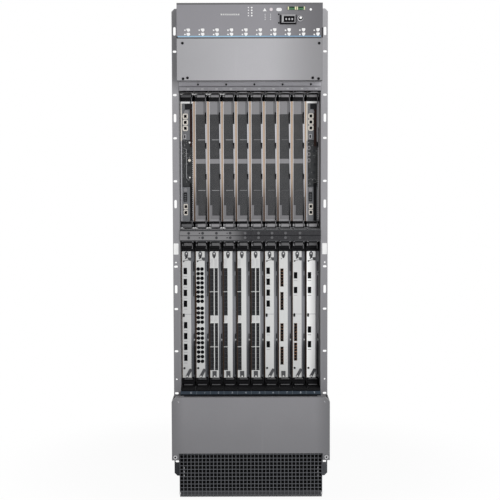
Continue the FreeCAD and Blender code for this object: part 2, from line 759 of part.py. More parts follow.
def port_strips(x, high, low, columns):
    """Long port strips, two above and two below in each column."""
    pitch = d.strip_height + d.strip_web
    half = d.strip_height / 2
    ports = []
    for index in range(columns):
        left = x + d.strip_x + d.strip_column * index
        for start in (high - d.strip_top - half - pitch, low + d.strip_base + half):
            ports += column(left, d.strip_width, d.strip_height, start, pitch, 2)
    return ports


def short_strips(x, high, low, upper):
    """Short port strips: two above and two below, or a close pair below."""
    half = d.short_strip / 2
    left = x + d.cage_x - d.strip_width / 2
    start = low + d.short_base + half
    if not upper:
        start = start + d.short_gap - d.pair_gap
        return column(left, d.strip_width, d.short_strip, start, d.short_strip + d.pair_gap, 2)
    pitch = d.short_strip + d.short_gap
    ports = column(left, d.strip_width, d.short_strip, start, pitch, 2)
    return ports + column(left, d.strip_width, d.short_strip, high - d.strip_top - half - pitch, pitch, 2)


def line_ports(slot, x, high, low):
    """The ports of each line card as the slots show them."""
    dense_top = (d.cage_top, d.cage_pitch, 4)
    dense_base = (d.cage_base, d.cage_pitch, 4)
    sparse_top = (d.cage_wide_top, d.cage_wide_pitch, 2)
    sparse_base = (d.cage_wide_base, d.cage_wide_pitch, 2)
    no_ports = (d.cage_base, d.cage_pitch, 0)
    if slot == 0:
        return single_ports(x, high, low, dense_top, dense_base)
    if slot == 1:
        return jack_ports(x, high, low)
    if slot in (2, 5):
        return port_strips(x, high, low, 2)
    if slot in (3, 4):
        return port_strips(x, high, low, 1)
    if slot == 6:
        return single_ports(x, high, low, dense_top, sparse_base)
    if slot == 7:
        return short_strips(x, high, low, True)
    if slot == 8:
        return single_ports(x, high, low, sparse_top, no_ports) + short_strips(x, high, low, False)
    return single_ports(x, high, low, sparse_top, sparse_base)


y_pivot = y_face - d.pivot_reach
card_width = d.slot_pitch - d.card_gap * 2


def lever_bracket(x, low, high, pivot):
    """Block behind a lever with an ear at each side and the pin between them."""
    right = x + card_width
    block = box((x, right), (y_face + d.bracket_set, y_face + d.plate_depth), (low, high))
    ears = []
    for run in ((x, x + d.ear), (right - d.ear, right)):
        ears.append(box(run, (y_face - d.ear_reach, y_face + d.plate_depth), (pivot - d.ear_half, pivot + d.ear_half)))
    pin = rod("x", d.pin_radius, card_width, x, y_pivot, pivot)
    return [block, pin] + ears


def line_levels():
    """Lower and upper end of a line card faceplate."""
    return z_line + d.line_low_zone, z_mid - d.line_high_zone


def line_card(slot):
    x = slot_x(slot) + d.card_gap
    low, high = line_levels()
    plate_x = x + d.sheet
    plate = box((x, plate_x + d.line_plate), (y_face, y_face + d.plate_depth), (low, high))
    carrier = box((plate_x + d.line_plate, x + card_width), (y_face + d.carrier_set, y_face + d.plate_depth), (low, high))
    pieces = card_inside(slot, z_line, z_mid) + [plate, carrier]
    pieces += lever_bracket(x, z_line + d.fit, low, low - d.pivot_rise)
    pieces += lever_bracket(x, high, z_mid - d.fit, high + d.pivot_rise)
    node(f"line_card_{slot}", cut(fuse(*pieces), *line_ports(slot, plate_x, high, low)))


def grip_bar(x, y, z):
    """Finger grip across a lever, its two front edges cut back."""
    depth = y[1] - y[0]
    tall = z[1] - z[0]
    edge = d.grip_edge
    body = body_at(x[0], y[0], z[0])
    pad(body, "YZ_Plane", x[1] - x[0], [(edge, 0), (depth, 0), (depth, tall), (edge, tall),
                                        (0, tall - edge), (0, edge)])
    return body


def lever(label, slot, pivot, end, grip):
    """Ejector lever: round end on the pin, flat arm to its free end and a grip across it."""
    x = slot_x(slot) + d.card_gap + d.ear + d.lever_gap
    wide = card_width - (d.ear + d.lever_gap) * 2
    arm_z = (pivot, end) if end.value > pivot.value else (end, pivot)
    grip_z = (end - grip, end) if end.value > pivot.value else (end, end + grip)
    boss = rod("x", d.boss_radius, wide, x, y_pivot, pivot)
    arm = box((x, x + wide), (y_pivot - d.lever_half, y_pivot + d.lever_half), arm_z)
    handle = grip_bar((x + d.grip_inset, x + wide - d.grip_inset), (y_pivot - d.grip_reach, y_pivot), grip_z)
    bore = rod("x", d.pin_radius + d.pin_fit, wide * 1.2, x - wide * 0.1, y_pivot, pivot)
    node(label, cut(fuse(boss, arm, handle), bore))


def line_levers(slot):
    low, high = line_levels()
    lever(f"line_lever_upper_{slot}", slot, high + d.pivot_rise, z_mid - d.lever_end, d.grip_high)
    lever(f"line_lever_lower_{slot}", slot, low - d.pivot_rise, z_line + d.lever_end, d.grip_low)


def fixed_handle(x, arm, grip):
    """Ejector handle of an upper card, folded flat: arm across the card and a grip."""
    run = (x + d.ear, x + card_width - d.ear)
    grip_run = (run[0] + d.grip_inset, run[1] - d.grip_inset)
    arm_y = (y_face - d.ear_reach, y_face + d.plate_depth)
    return [box(run, arm_y, arm), grip_bar(grip_run, (y_face - d.ear_reach - d.grip_reach, y_face), grip)]


def upper_card(slot):
    """Face block, raised edges, gasket, handles and inside that every upper card has."""
    x = slot_x(slot) + d.card_gap
    low = z_fabric + d.fabric_low_zone
    high = z_upper - d.fabric_high_zone
    right = x + card_width
    depth = (y_face, y_face + d.plate_depth)
    raised = (y_face - d.frame_rise, y_face + d.plate_depth)
    pieces = card_inside(slot, z_fabric, z_upper)
    pieces.append(box((x, right), depth, (low, high)))
    pieces.append(box((x, x + d.frame_edge), raised, (low, high)))
    pieces.append(box((right - d.frame_edge, right), raised, (low, high)))
    pieces.append(box((right, right + d.gasket), depth, (low, high)))
    end = d.lever_end
    pieces += fixed_handle(x, (high, z_upper - end), (z_upper - end - d.grip_low, z_upper - end))
    pieces += fixed_handle(x, (z_fabric + end, low), (z_fabric + end, z_fabric + end + d.grip_low))
    return fuse(*pieces), x, low, high


def fabric_card(slot):
    """Upper card with two mesh windows and a corner block in the lower one."""
    card, x, low, high = upper_card(slot)
    left = x + d.frame_edge
    right = x + card_width - d.frame_edge
    depth = (y_face - d.sheet, y_face + d.mesh_sink)
    high_base = high - d.mesh_top - d.mesh_high
    upper = box((left, right), depth, (high_base, high - d.mesh_top))
    foot = low + d.mesh_base
    lower = box((left, right), depth, (foot + d.mesh_notch, high_base - d.mesh_cross))
    corner = box((left + d.mesh_notch_width, right), depth, (foot, foot + d.mesh_notch))
    node(f"fabric_card_{slot}", cut(card, upper, fuse(lower, corner)))


def control_card(label, slot):
    """Upper card with three sockets over an open board window and two sockets under it."""
    card, x, low, high = upper_card(slot)
    sockets = [high - d.socket_top - d.socket_pitch * k for k in range(3)]
    sockets += [low + d.socket_base + d.socket_pitch * k for k in range(2)]
    middle = x + d.socket_x
    half = d.socket_width / 2
    half_rim = half + d.socket_rim
    rims = []
    bores = []
    for z in sockets:
        tall = d.socket_height / 2
        rims.append(box((middle - half_rim, middle + half_rim), (y_face - d.socket_rise, y_face + d.sheet),
                        (z - tall - d.socket_rim, z + tall + d.socket_rim)))
        bores.append(box((middle - half, middle + half), (y_face - d.socket_rise * 2, y_face + d.socket_depth),
                         (z - tall, z + tall)))
    window = box((x + d.frame_edge, x + card_width - d.frame_edge), (y_face - d.sheet, y_face + d.mesh_sink),
                 (low + d.board_window_base, high - d.board_window_top))
    node(label, cut(fuse(card, *rims), window, *bores))


# Rear modules
def turned_bar(start, end, depth, width, turn, x, y, z):
    """Flat bar from one radius to another, turned about a centre."""
    bar = doc.addObject("Part::Box", "bar")
    bind(bar, "Length", end - start)
    bind(bar, "Width", depth)
    bind(bar, "Height", width)
    bar.Placement = FreeCAD.Placement(FreeCAD.Vector(), turn)
    along = turn.multVec(FreeCAD.Vector(1, 0, 0))
    across = turn.multVec(FreeCAD.Vector(0, 1, 0))
    up = turn.multVec(FreeCAD.Vector(0, 0, 1))
    corner = []
    for middle, a, b, c in zip((x, y, z), along, across, up):
        corner.append(middle + start * a - depth * (b / 2) - width * (c / 2))
    place(bar, *corner)
    return bar


def fan(x, y, z):
    """Ring, hub, three spokes and pitched blades, all fixed; the axis runs along Y from the face."""
    ring = cut(rod("y", d.fan_radius + d.fan_ring, d.fan_depth, x, y - d.fan_depth, z),
               rod("y", d.fan_radius, d.fan_depth * 2, x, y - d.fan_depth * 1.5, z))
    hub = rod("y", d.hub_radius, d.fan_depth + d.sheet, x, y - d.fan_depth, z)
    pieces = [ring, hub]
    for index in range(3):
        turn = FreeCAD.Rotation(FreeCAD.Vector(0, 1, 0), 120 * index)
        pieces.append(turned_bar(d.hub_radius - d.spoke, d.fan_radius + d.fan_ring / 2, d.sheet, d.spoke, turn,
                                 x, y + d.sheet / 2, z))
    pitch = FreeCAD.Rotation(FreeCAD.Vector(1, 0, 0), 35)
    for index in range(FAN_BLADES):
        turn = FreeCAD.Rotation(FreeCAD.Vector(0, 1, 0), 360 / FAN_BLADES * index)
        pieces.append(turned_bar(d.hub_radius - d.spoke, d.fan_radius - d.fan_ring, d.blade_sheet, d.blade_chord,
                                 turn.multiply(pitch), x, y - d.fan_depth / 2, z))
    return pieces


def fan_tray(label, run, rise):
    """Tray open to the inside, with a face over the frame, two fans and a bar handle."""
    x = (run[0] + d.fit, run[1] - d.fit)
    z = (rise[0] + d.fit, rise[1] - d.fit)
    frame_back = y_rear - d.sheet
    shell = box(x, (y_rear - d.fan_bay, frame_back), z)
    face = box((run[0] - d.fan_overlap, run[1] + d.fan_overlap), (frame_back, y_rear),
               (rise[0] - d.fan_overlap, rise[1] + d.fan_overlap))
    t = d.sheet
    hollow = box((x[0] + t, x[1] - t), (y_rear - d.fan_bay - t, frame_back), (z[0] + t, z[1] - t))
    middle = (run[0] + run[1]) / 2
    tall = rise[1] - rise[0]
    centres = [rise[0] + tall * (2 * k + 1) / (2 * FANS_PER_TRAY) for k in range(FANS_PER_TRAY)]
    openings = [rod("y", d.fan_radius, t * 4, middle, frame_back - t, level) for level in centres]
    fans = []
    for level in centres:
        fans += fan(middle, frame_back, level)
    level = rise[0] + tall / 2
    bar = d.handle_bar
    half = d.handle_width / 2
    end = y_rear + d.handle_reach
    grip = box((middle - half, middle + half), (end - bar, end), (level - bar / 2, level + bar / 2))
    posts = [box(span, (y_rear, end), (level - bar / 2, level + bar / 2))
             for span in ((middle - half, middle - half + bar), (middle + half - bar, middle + half))]
    node(label, fuse(cut(fuse(cut(shell, hollow), face), *openings), grip, *posts, *fans))


def power_module(index):
    """Can with a closed face, a pull tab and a recessed inlet."""
    left = d.rear_margin - inner
    pitch = (inner - d.rear_margin) * 2 / POWER_MODULES
    x = (left + pitch * index + d.module_gap / 2, left + pitch * (index + 1) - d.module_gap / 2)
    z = (power_window[0] + d.fit, power_window[1] - d.fit)
    t = d.sheet
    can = box(x, (y_rear - d.module_bay, y_rear + d.module_face), z)
    hollow = box((x[0] + t, x[1] - t), (y_rear - d.module_bay - t, y_rear), (z[0] + t, z[1] - t))
    middle = (x[0] + x[1]) / 2
    half = d.inlet_width / 2
    foot = z[0] + d.inlet_rise
    back = y_rear + d.module_face
    w = d.inlet_wall
    well = box((middle - half - w, middle + half + w), (back - d.inlet_depth - w, back),
               (foot - w, foot + d.inlet_height + w))
    inlet = box((middle - half, middle + half), (back - d.inlet_depth, back + t), (foot, foot + d.inlet_height))
    tab_foot = z[1] - d.inlet_rise - d.tab_height
    tab = box((middle - d.tab_width / 2, middle + d.tab_width / 2), (back, back + d.tab_reach),
              (tab_foot, tab_foot + d.tab_height))
    return cut(fuse(cut(can, hollow), well, tab), inlet)


# Build every sub-part
side_wall("side_wall_left", -1)
side_wall("side_wall_right", 1)
roof_panel()
base_pan()
rear_frame()
backplane()
rack_flange("rack_flange_left", -1)
rack_flange("rack_flange_right", 1)
craft_panel()
node("power_cover", pan(z_power, z_craft, True, False))
upper_card_rail()
mid_card_rail()
lower_card_rail()
lower_air_cover()
intake_grille()
control_card("control_card_left", 0)
control_card("control_card_right", SLOTS - 1)
for slot in range(1, SLOTS - 1):
    fabric_card(slot)
for slot in range(SLOTS):
    line_card(slot)
    line_levers(slot)
for row_name, rise in fan_rows.items():
    for column_name, run in fan_columns.items():
        fan_tray(f"fan_tray_{row_name}_{column_name}", run, rise)
node("power_modules", group(*[power_module(index) for index in range(POWER_MODULES)]))
doc.recompute()

# Check and export
broken = [thing.Label for thing in doc.Objects if "Invalid" in thing.State or "Error" in thing.State]
assert not broken, f"objects not built: {broken}"
os.makedirs("parts", exist_ok=True)
for thing in nodes:
    shape = thing.Shape
    assert not shape.isNull() and shape.isValid() and shape.Solids, f"bad shape: {thing.Label}"
    shape.exportStep(f"parts/{thing.Label}.step")
    print(thing.Label, len(shape.Solids), "solids", round(shape.Volume / 1000), "cm3")
print(len(nodes), "sub-parts")
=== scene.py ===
import bpy
import math
from mathutils import Matrix, Vector


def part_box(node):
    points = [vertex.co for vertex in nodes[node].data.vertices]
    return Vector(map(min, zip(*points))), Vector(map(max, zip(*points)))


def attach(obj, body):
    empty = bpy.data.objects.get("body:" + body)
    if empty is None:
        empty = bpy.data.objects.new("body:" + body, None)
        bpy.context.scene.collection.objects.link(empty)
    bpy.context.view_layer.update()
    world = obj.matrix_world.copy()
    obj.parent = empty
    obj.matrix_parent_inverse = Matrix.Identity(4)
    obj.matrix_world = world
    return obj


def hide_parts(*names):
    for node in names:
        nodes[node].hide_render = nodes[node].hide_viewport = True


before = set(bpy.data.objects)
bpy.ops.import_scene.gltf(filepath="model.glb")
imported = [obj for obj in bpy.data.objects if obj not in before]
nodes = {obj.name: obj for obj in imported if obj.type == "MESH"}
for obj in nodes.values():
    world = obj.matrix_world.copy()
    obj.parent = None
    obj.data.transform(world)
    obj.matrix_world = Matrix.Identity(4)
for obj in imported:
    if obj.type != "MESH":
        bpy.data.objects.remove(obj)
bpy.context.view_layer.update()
mm = 0.001  # sizes below are in millimetres
slots = range(10)  # card places in each row


def cadEdge(node, end, axis):
    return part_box(node)[end][axis] / mm


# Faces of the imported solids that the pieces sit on
inner = cadEdge("roof_panel", 1, 0)
slotPitch = 2 * inner / len(slots)
craftY = cadEdge("power_cover", 0, 1)
coverY = cadEdge("lower_air_cover", 0, 1) + 6
railY = cadEdge("mid_card_rail", 0, 1)
flangeY = cadEdge("rack_flange_left", 0, 1)
faceY = cadEdge("line_card_0", 0, 1) + 8
rearY = cadEdge("side_wall_left", 1, 1)
lineFloor = cadEdge("lower_card_rail", 1, 2)
midLow = cadEdge("mid_card_rail", 0, 2)
midHigh = cadEdge("mid_card_rail", 1, 2)
upperRoof = cadEdge("upper_card_rail", 0, 2)
coverLow = cadEdge("power_cover", 0, 2)
craftLow = cadEdge("craft_panel", 0, 2)
panelTop = cadEdge("craft_panel", 1, 2)
# Ends of the card plates, from the rails
lineLow = lineFloor + 24.3
lineHigh = midLow - 35.6
upperLow = midHigh + 22.5
upperHigh = upperRoof - 24.8
print("frame loaded:", len(nodes), "nodes")


def slotX(slot):
    return slotPitch * slot - inner


# Shader sheets
class Socket:
    def __init__(self, sheet, output):
        self.sheet = sheet
        self.output = output

    def maths(self, operation, first, second):
        return self.sheet.add("ShaderNodeMath", {"operation": operation}, {0: first, 1: second})

    def __add__(self, other):
        return self.maths("ADD", self, other)

    def __radd__(self, other):
        return self.maths("ADD", other, self)

    def __sub__(self, other):
        return self.maths("SUBTRACT", self, other)

    def __rsub__(self, other):
        return self.maths("SUBTRACT", other, self)

    def __mul__(self, other):
        return self.maths("MULTIPLY", self, other)

    def __rmul__(self, other):
        return self.maths("MULTIPLY", other, self)

    def __gt__(self, other):
        return self.maths("GREATER_THAN", self, other)

    def __lt__(self, other):
        return self.maths("LESS_THAN", self, other)


class Sheet:
    def __init__(self, tree):
        self.tree = tree

    def add(self, kind, settings, sockets, output=0):
        node = self.tree.nodes.new(kind)
        for name, value in settings.items():
            setattr(node, name, value)
        for name, value in sockets.items():
            if isinstance(value, Socket):
                self.tree.links.new(value.output, node.inputs[name])
            else:
                node.inputs[name].default_value = value
        return Socket(self, node.outputs[output])

    def seen(self):  # 1 for rays that show a surface, 0 for rays that only carry its light
        camera = self.add("ShaderNodeLightPath", {}, {}, "Is Camera Ray")
        glossy = self.add("ShaderNodeLightPath", {}, {}, "Is Glossy Ray")
        clear = self.add("ShaderNodeLightPath", {}, {}, "Is Transmission Ray")
        return camera + glossy + clear


class Finish(Sheet):
    def __init__(self, name, **fixed):
        self.material = bpy.data.materials.new(name)
        self.material.use_nodes = True
        super().__init__(self.material.node_tree)
        self.shader = self.tree.nodes["Principled BSDF"]
        for socket, value in fixed.items():
            self.shader.inputs[socket.replace("_", " ")].default_value = value
        self.place = self.add("ShaderNodeTexCoord", {}, {}, "Object")

    def along(self, axis):
        return self.add("ShaderNodeSeparateXYZ", {}, {0: self.place}, axis)

    def noise(self, scale, detail=2.0, stretch=(1, 1, 1)):
        where = self.add("ShaderNodeVectorMath", {"operation": "MULTIPLY"}, {0: self.place, 1: stretch})
        return self.add("ShaderNodeTexNoise", {}, {"Vector": where, "Scale": scale, "Detail": detail})

    def ramp(self, value, start, end):
        settings = {"interpolation_type": "SMOOTHSTEP"}
        return self.add("ShaderNodeMapRange", settings, {0: value, 1: start, 2: end})

    def mix(self, factor, first, second):
        return self.add("ShaderNodeMix", {"data_type": "RGBA"}, {0: factor, 6: first, 7: second}, 2)

    def bump(self, height, distance, strength):
        sockets = {"Strength": strength, "Distance": distance * mm, "Height": height}
        return self.add("ShaderNodeBump", {}, sockets)

    def feed(self, **links):
        for name, value in links.items():
            self.tree.links.new(value.output, self.shader.inputs[name.replace("_", " ")])
        return self.material


def tint(colour, share=1.0):
    return (colour[0] * share, colour[1] * share, colour[2] * share, 1)


def powderCoat(name, colour, rough=0.5, fades=(), shine=0.3):
    finish = Finish(name, Specular_IOR_Level=shine)
    cloud = finish.noise(7, 4)
    fleck = finish.noise(900, 1)
    peel = finish.noise(450, 2)
    scuff = finish.ramp(finish.noise(55, 5, (1, 1, 0.06)), 0.66, 0.8)
    base = finish.mix(cloud, tint(colour, 0.93), tint(colour, 1.07))
    for axis, start, end, far in fades:
        reach = finish.ramp(finish.along(axis), start * mm, end * mm)
        base = finish.mix(reach, base, finish.mix(cloud, tint(far, 0.93), tint(far, 1.07)))
    base = finish.mix((fleck > 0.62) * 0.3, base, tint(colour, 0.8))
    base = finish.mix(scuff * 0.12, base, tint(colour, 1.5))
    normal = finish.bump(peel, 0.12, 0.35)
    return finish.feed(Base_Color=base, Roughness=rough - 0.08 + cloud * 0.16, Normal=normal)


def brushedPlate(name, colour, rough, metallic):
    finish = Finish(name, Metallic=metallic, Specular_IOR_Level=0.3)
    brush = finish.noise(1, 3, (1100, 1100, 16))
    cloud = finish.noise(11, 3)
    mark = finish.ramp(finish.noise(70, 4), 0.68, 0.78)
    base = finish.mix(brush, tint(colour, 0.94), tint(colour, 1.04))
    base = finish.mix(cloud * 0.3, base, tint(colour, 0.9))
    base = finish.mix(mark * 0.2, base, tint(colour, 0.8))
    normal = finish.bump(brush, 0.05, 0.3)
    return finish.feed(Base_Color=base, Roughness=rough - 0.1 + brush * 0.2, Normal=normal)


def platedSteel(name, colour, rough=0.4, metallic=0.7):
    finish = Finish(name, Metallic=metallic)
    cell = finish.add("ShaderNodeTexVoronoi", {}, {"Vector": finish.place, "Scale": 130.0})
    grain = finish.noise(600, 2)
    base = finish.mix(cell, tint(colour, 0.9), tint(colour, 1.1))
    normal = finish.bump(grain, 0.04, 0.3)
    return finish.feed(Base_Color=base, Roughness=rough + cell * 0.15, Normal=normal)


def mouldedPlastic(name, colour, rough=0.5, shine=0.3):
    finish = Finish(name, Specular_IOR_Level=shine)
    grain = finish.noise(1200, 2)
    cloud = finish.noise(40, 3)
    base = finish.mix(cloud, tint(colour, 0.85), tint(colour, 1.15))
    normal = finish.bump(grain, 0.05, 0.4)
    return finish.feed(Base_Color=base, Roughness=rough + grain * 0.12, Normal=normal)


def circuitBoard(name):
    finish = Finish(name, Specular_IOR_Level=0.4)
    run = finish.noise(1, 1, (20, 20, 900)) > 0.58
    rise = finish.noise(1, 1, (20, 900, 20)) > 0.6
    pads = finish.add("ShaderNodeTexVoronoi", {}, {"Vector": finish.place, "Scale": 260.0})
    base = finish.mix(finish.noise(30, 3), (0.006, 0.045, 0.02, 1), (0.012, 0.075, 0.03, 1))
    base = finish.mix(run * rise, base, (0.03, 0.13, 0.055, 1))
    pad = pads < 0.17
    base = finish.mix(pad, base, (0.5, 0.46, 0.36, 1))
    return finish.feed(Base_Color=base, Roughness=0.4 - pad * 0.15, Normal=finish.bump(run, 0.05, 0.3))


def darkBoard(name):
    finish = Finish(name, Specular_IOR_Level=0.2)
    pads = finish.add("ShaderNodeTexVoronoi", {}, {"Vector": finish.place, "Scale": 190.0})
    cloud = finish.noise(90, 3)
    pad = (pads < 0.2) * (finish.noise(45, 1) > 0.55)
    base = finish.mix(cloud, (0.012, 0.013, 0.014, 1), (0.05, 0.052, 0.055, 1))
    base = finish.mix(pad, base, (0.4, 0.4, 0.4, 1))
    return finish.feed(Base_Color=base, Roughness=0.5 - pad * 0.2, Normal=finish.bump(cloud, 0.2, 0.4))


def portCage(name):
    finish = Finish(name, Metallic=0.5)
    rows = finish.add("ShaderNodeTexWave", {"bands_direction": "Z"}, {"Vector": finish.place, "Scale": 34.0})
    spots = finish.noise(220, 3)
    base = finish.mix(rows, (0.022, 0.011, 0.007, 1), (0.22, 0.105, 0.05, 1))
    base = finish.mix(finish.ramp(spots, 0.45, 0.62), base, (0.008, 0.006, 0.005, 1))
    return finish.feed(Base_Color=base, Roughness=0.45 + spots * 0.2, Normal=finish.bump(rows, 0.3, 0.5))


def filterFoam(name):
    finish = Finish(name, Specular_IOR_Level=0.1)
    pore = finish.add("ShaderNodeTexVoronoi", {}, {"Vector": finish.place, "Scale": 420.0})
    base = finish.mix(pore, (0.002, 0.002, 0.002, 1), (0.006, 0.006, 0.007, 1))
    return finish.feed(Base_Color=base, Roughness=0.85 + pore * 0.1, Normal=finish.bump(pore, 0.6, 0.8))


def lampLens(name, colour, rough=0.2):
    finish = Finish(name, Coat_Weight=0.4)
    ridge = finish.noise(900, 1)
    base = finish.mix(ridge, tint(colour, 0.88), tint(colour, 1.06))
    return finish.feed(Base_Color=base, Roughness=rough + ridge * 0.1, Normal=finish.bump(ridge, 0.03, 0.3))


finishes = {
    # status panel paint: painted shade, darker towards the right end
    "status": powderCoat("statusPaint", (0.24, 0.236, 0.255), 0.5, [("X", 40, 215, (0.109, 0.107, 0.116))]),
    # plain cover paint: painted light and shade, lighter in the middle and darker towards both ends
    "blank": powderCoat("blankPaint", (0.335, 0.333, 0.348), 0.55,
                        [("X", -230, 0, (0.408, 0.404, 0.424)), ("X", 40, 230, (0.232, 0.23, 0.24))]),
    "screwStrip": powderCoat("screwStripPaint", (0.405, 0.4, 0.428)),
    # lower cover paint: painted light and shade, lighter towards the top and darker towards both side ends
    "cover": powderCoat("coverPaint", (0.178, 0.177, 0.187), 0.5,
                        [("Z", 140, 316, (0.208, 0.206, 0.218)), ("X", -200, -243, (0.15, 0.15, 0.158)),
                         ("X", 190, 243, (0.14, 0.14, 0.148))]),
    # flange paint: painted light, lighter towards the top; the dark foot near the floor is the flange's own
    # colour
    "flange": powderCoat("flangePaint", (0.195, 0.193, 0.205), 0.5,
                         [("Z", 480, 900, (0.265, 0.262, 0.277)), ("Z", 1150, 1350, (0.34, 0.337, 0.352)),
                          ("Z", 1380, 1460, (0.37, 0.367, 0.383)), ("Z", 135, 70, (0.05, 0.053, 0.06))]),
    "case": powderCoat("casePaint", (0.235, 0.235, 0.245)),
    "rail": powderCoat("railPaint", (0.26, 0.256, 0.275)),
    "labelCard": powderCoat("labelCard", (0.29, 0.287, 0.3)),
    "labelField": powderCoat("labelField", (0.285, 0.281, 0.3)),
    "labelMark": powderCoat("labelMark", (0.4, 0.4, 0.41)),
    # middle bar paint: grey, with a painted reflection that turns it near-black from the middle to the right
    # end
    "bar": powderCoat("barPaint", (0.205, 0.203, 0.21), 0.45, [("X", -80, -5, (0.024, 0.024, 0.027))], 0.12),
    "number": powderCoat("numberStripPaint", (0.048, 0.066, 0.088), 0.5, (), 0.15),
    "tick": powderCoat("tickPaint", (0.2, 0.225, 0.25), 0.5, (), 0.15),
    "grille": powderCoat("grillePaint", (0.1, 0.103, 0.112), 0.5, (), 0.15),
    "dark": powderCoat("darkFrame", (0.008, 0.008, 0.009), 0.6, (), 0.1),
    "shade": powderCoat("shadePaint", (0.045, 0.046, 0.05), 0.5, (), 0.15),
    # carrier paint: painted light and shade along the height, darkest at the bottom
    "carrier": powderCoat("carrierPaint", (0.098, 0.103, 0.116), 0.45,
                          [("Z", 430, 500, (0.28, 0.287, 0.312)), ("Z", 590, 640, (0.23, 0.237, 0.258)),
                           ("Z", 660, 720, (0.16, 0.166, 0.182))]),
    # last carrier paint: painted light, a brighter copy of the carrier paint set against the side wall's
    # shade
    "lastCarrier": powderCoat("lastCarrierPaint", (0.3, 0.305, 0.32), 0.45,
                              [("Z", 430, 500, (0.6, 0.605, 0.63)), ("Z", 660, 720, (0.5, 0.505, 0.53))]),
    "latch": powderCoat("latchPaint", (0.085, 0.086, 0.092), 0.45, (), 0.2),
    "plate": brushedPlate("cardPlate", (0.625, 0.63, 0.625), 0.5, 0.1),
    # last card plate: painted light, a brighter copy of the plate finish set against the side wall's shade
    "lastPlate": brushedPlate("lastCardPlate", (0.95, 0.955, 0.95), 0.5, 0.1),
    "fabricFace": powderCoat("fabricFace", (0.175, 0.173, 0.182), 0.5,
                             [("Z", 880, 960, (0.23, 0.227, 0.238))]),
    "fabricGroove": brushedPlate("fabricGroove", (0.13, 0.13, 0.137), 0.5, 0.1),
    "fabricEdge": brushedPlate("fabricEdge", (0.43, 0.425, 0.445), 0.45, 0.1),
    # card edge paint: painted shade, darker towards the foot of the card
    "cardEdge": powderCoat("cardEdge", (0.29, 0.287, 0.3), 0.45, [("Z", 880, 1010, (0.56, 0.56, 0.59))]),
    "controlFace": brushedPlate("controlFace", (0.135, 0.14, 0.15), 0.5, 0.1),
    # gasket paint: tan, with painted shade darkening it to brown towards the foot
    "gasket": powderCoat("tanGasket", (0.1, 0.066, 0.046), 0.7, [("Z", 880, 1010, (0.52, 0.385, 0.28))], 0.2),
    "brownEdge": mouldedPlastic("brownEdge", (0.06, 0.036, 0.024), 0.7, 0.1),
    "darkBrown": mouldedPlastic("darkBrown", (0.026, 0.013, 0.011), 0.6, 0.1),
    "meshWire": platedSteel("meshWire", (0.075, 0.076, 0.08), 0.5, 0.2),
    "crossWire": powderCoat("crossWire", (0.36, 0.36, 0.37), 0.5, [("X", -150, 140, (0.1, 0.1, 0.105))]),
    "void": mouldedPlastic("darkWell", (0.004, 0.004, 0.005), 0.8, 0.05),
    "black": mouldedPlastic("blackPlastic", (0.006, 0.006, 0.007), 0.55, 0.08),
    "grip": mouldedPlastic("gripPlastic", (0.12, 0.12, 0.126), 0.5, 0.2),
    # lever grip: painted light, a lighter copy of the grip plastic set against the shade under the middle
    # rail
    "leverGrip": mouldedPlastic("leverGrip", (0.17, 0.168, 0.174), 0.5, 0.2),
    # pale grip: painted light, a paler copy of the grip plastic set against the shade under the upper rail
    "paleGrip": mouldedPlastic("paleGrip", (0.3, 0.295, 0.305), 0.5, 0.2),
    "white": mouldedPlastic("whitePlastic", (0.8, 0.8, 0.8), 0.4, 0.3),
    "brightTab": mouldedPlastic("brightTab", (0.84, 0.84, 0.84), 0.4, 0.3),
    "cream": mouldedPlastic("creamPlastic", (0.74, 0.7, 0.64), 0.4, 0.3),
    "port": mouldedPlastic("portPlastic", (0.012, 0.012, 0.014), 0.5, 0.12),
    "portGrey": mouldedPlastic("portGrey", (0.022, 0.023, 0.026), 0.45, 0.15),
    "portWeb": mouldedPlastic("portWeb", (0.07, 0.072, 0.078), 0.45, 0.2),
    "cage": portCage("copperCage"),
    "zinc": platedSteel("zincPlate", (0.62, 0.62, 0.62)),
    "tray": platedSteel("trayZinc", (0.42, 0.42, 0.43), 0.45, 0.6),
    "sinkMetal": brushedPlate("heatSink", (0.4, 0.4, 0.41), 0.4, 0.8),
    "module": platedSteel("moduleMetal", (0.36, 0.36, 0.37), 0.45, 0.5),
    "board": circuitBoard("cardBoard"),
    "windowBoard": darkBoard("windowBoard"),
    "foam": filterFoam("filterFoam"),
    "blue": powderCoat("blueStripe", (0.28, 0.48, 0.64), 0.4, [("X", -60, 120, (0.16, 0.29, 0.43))]),
    "terminal": mouldedPlastic("terminalGreen", (0.03, 0.15, 0.05), 0.4, 0.4),
    "terminalEnd": mouldedPlastic("terminalEnd", (0.76, 0.74, 0.5), 0.4, 0.4),
    "lamp": lampLens("clearLens", (0.76, 0.76, 0.77)),
    "pinkLamp": lampLens("roseLens", (0.66, 0.6, 0.62)),
    "digit": mouldedPlastic("digitPaint", (0.62, 0.66, 0.72), 0.6, 0.1),
    "handle": mouldedPlastic("rearHandle", (0.02, 0.02, 0.022), 0.45, 0.3),
}
print("finishes made:", len(finishes))


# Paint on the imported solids, face by face where a solid has several finishes
def paintNode(name, base, rules=()):
    mesh = nodes[name].data
    mesh.materials.clear()
    mesh.materials.append(finishes[base])
    for paint, test in rules:
        mesh.materials.append(finishes[paint])
    for face in mesh.polygons:
        middle = face.center / mm
        for index, (paint, test) in enumerate(rules, start=1):
            if test(middle, face.normal):
                face.material_index = index
                break


plainPaint = {
    "case": ["side_wall_left", "side_wall_right", "roof_panel", "base_pan", "rear_frame"],
    "flange": ["rack_flange_left", "rack_flange_right"],
    "blank": ["power_cover"],
    "grille": ["intake_grille"],
    "board": ["backplane"],
}
for paint, names in plainPaint.items():
    for name in names:
        paintNode(name, paint)

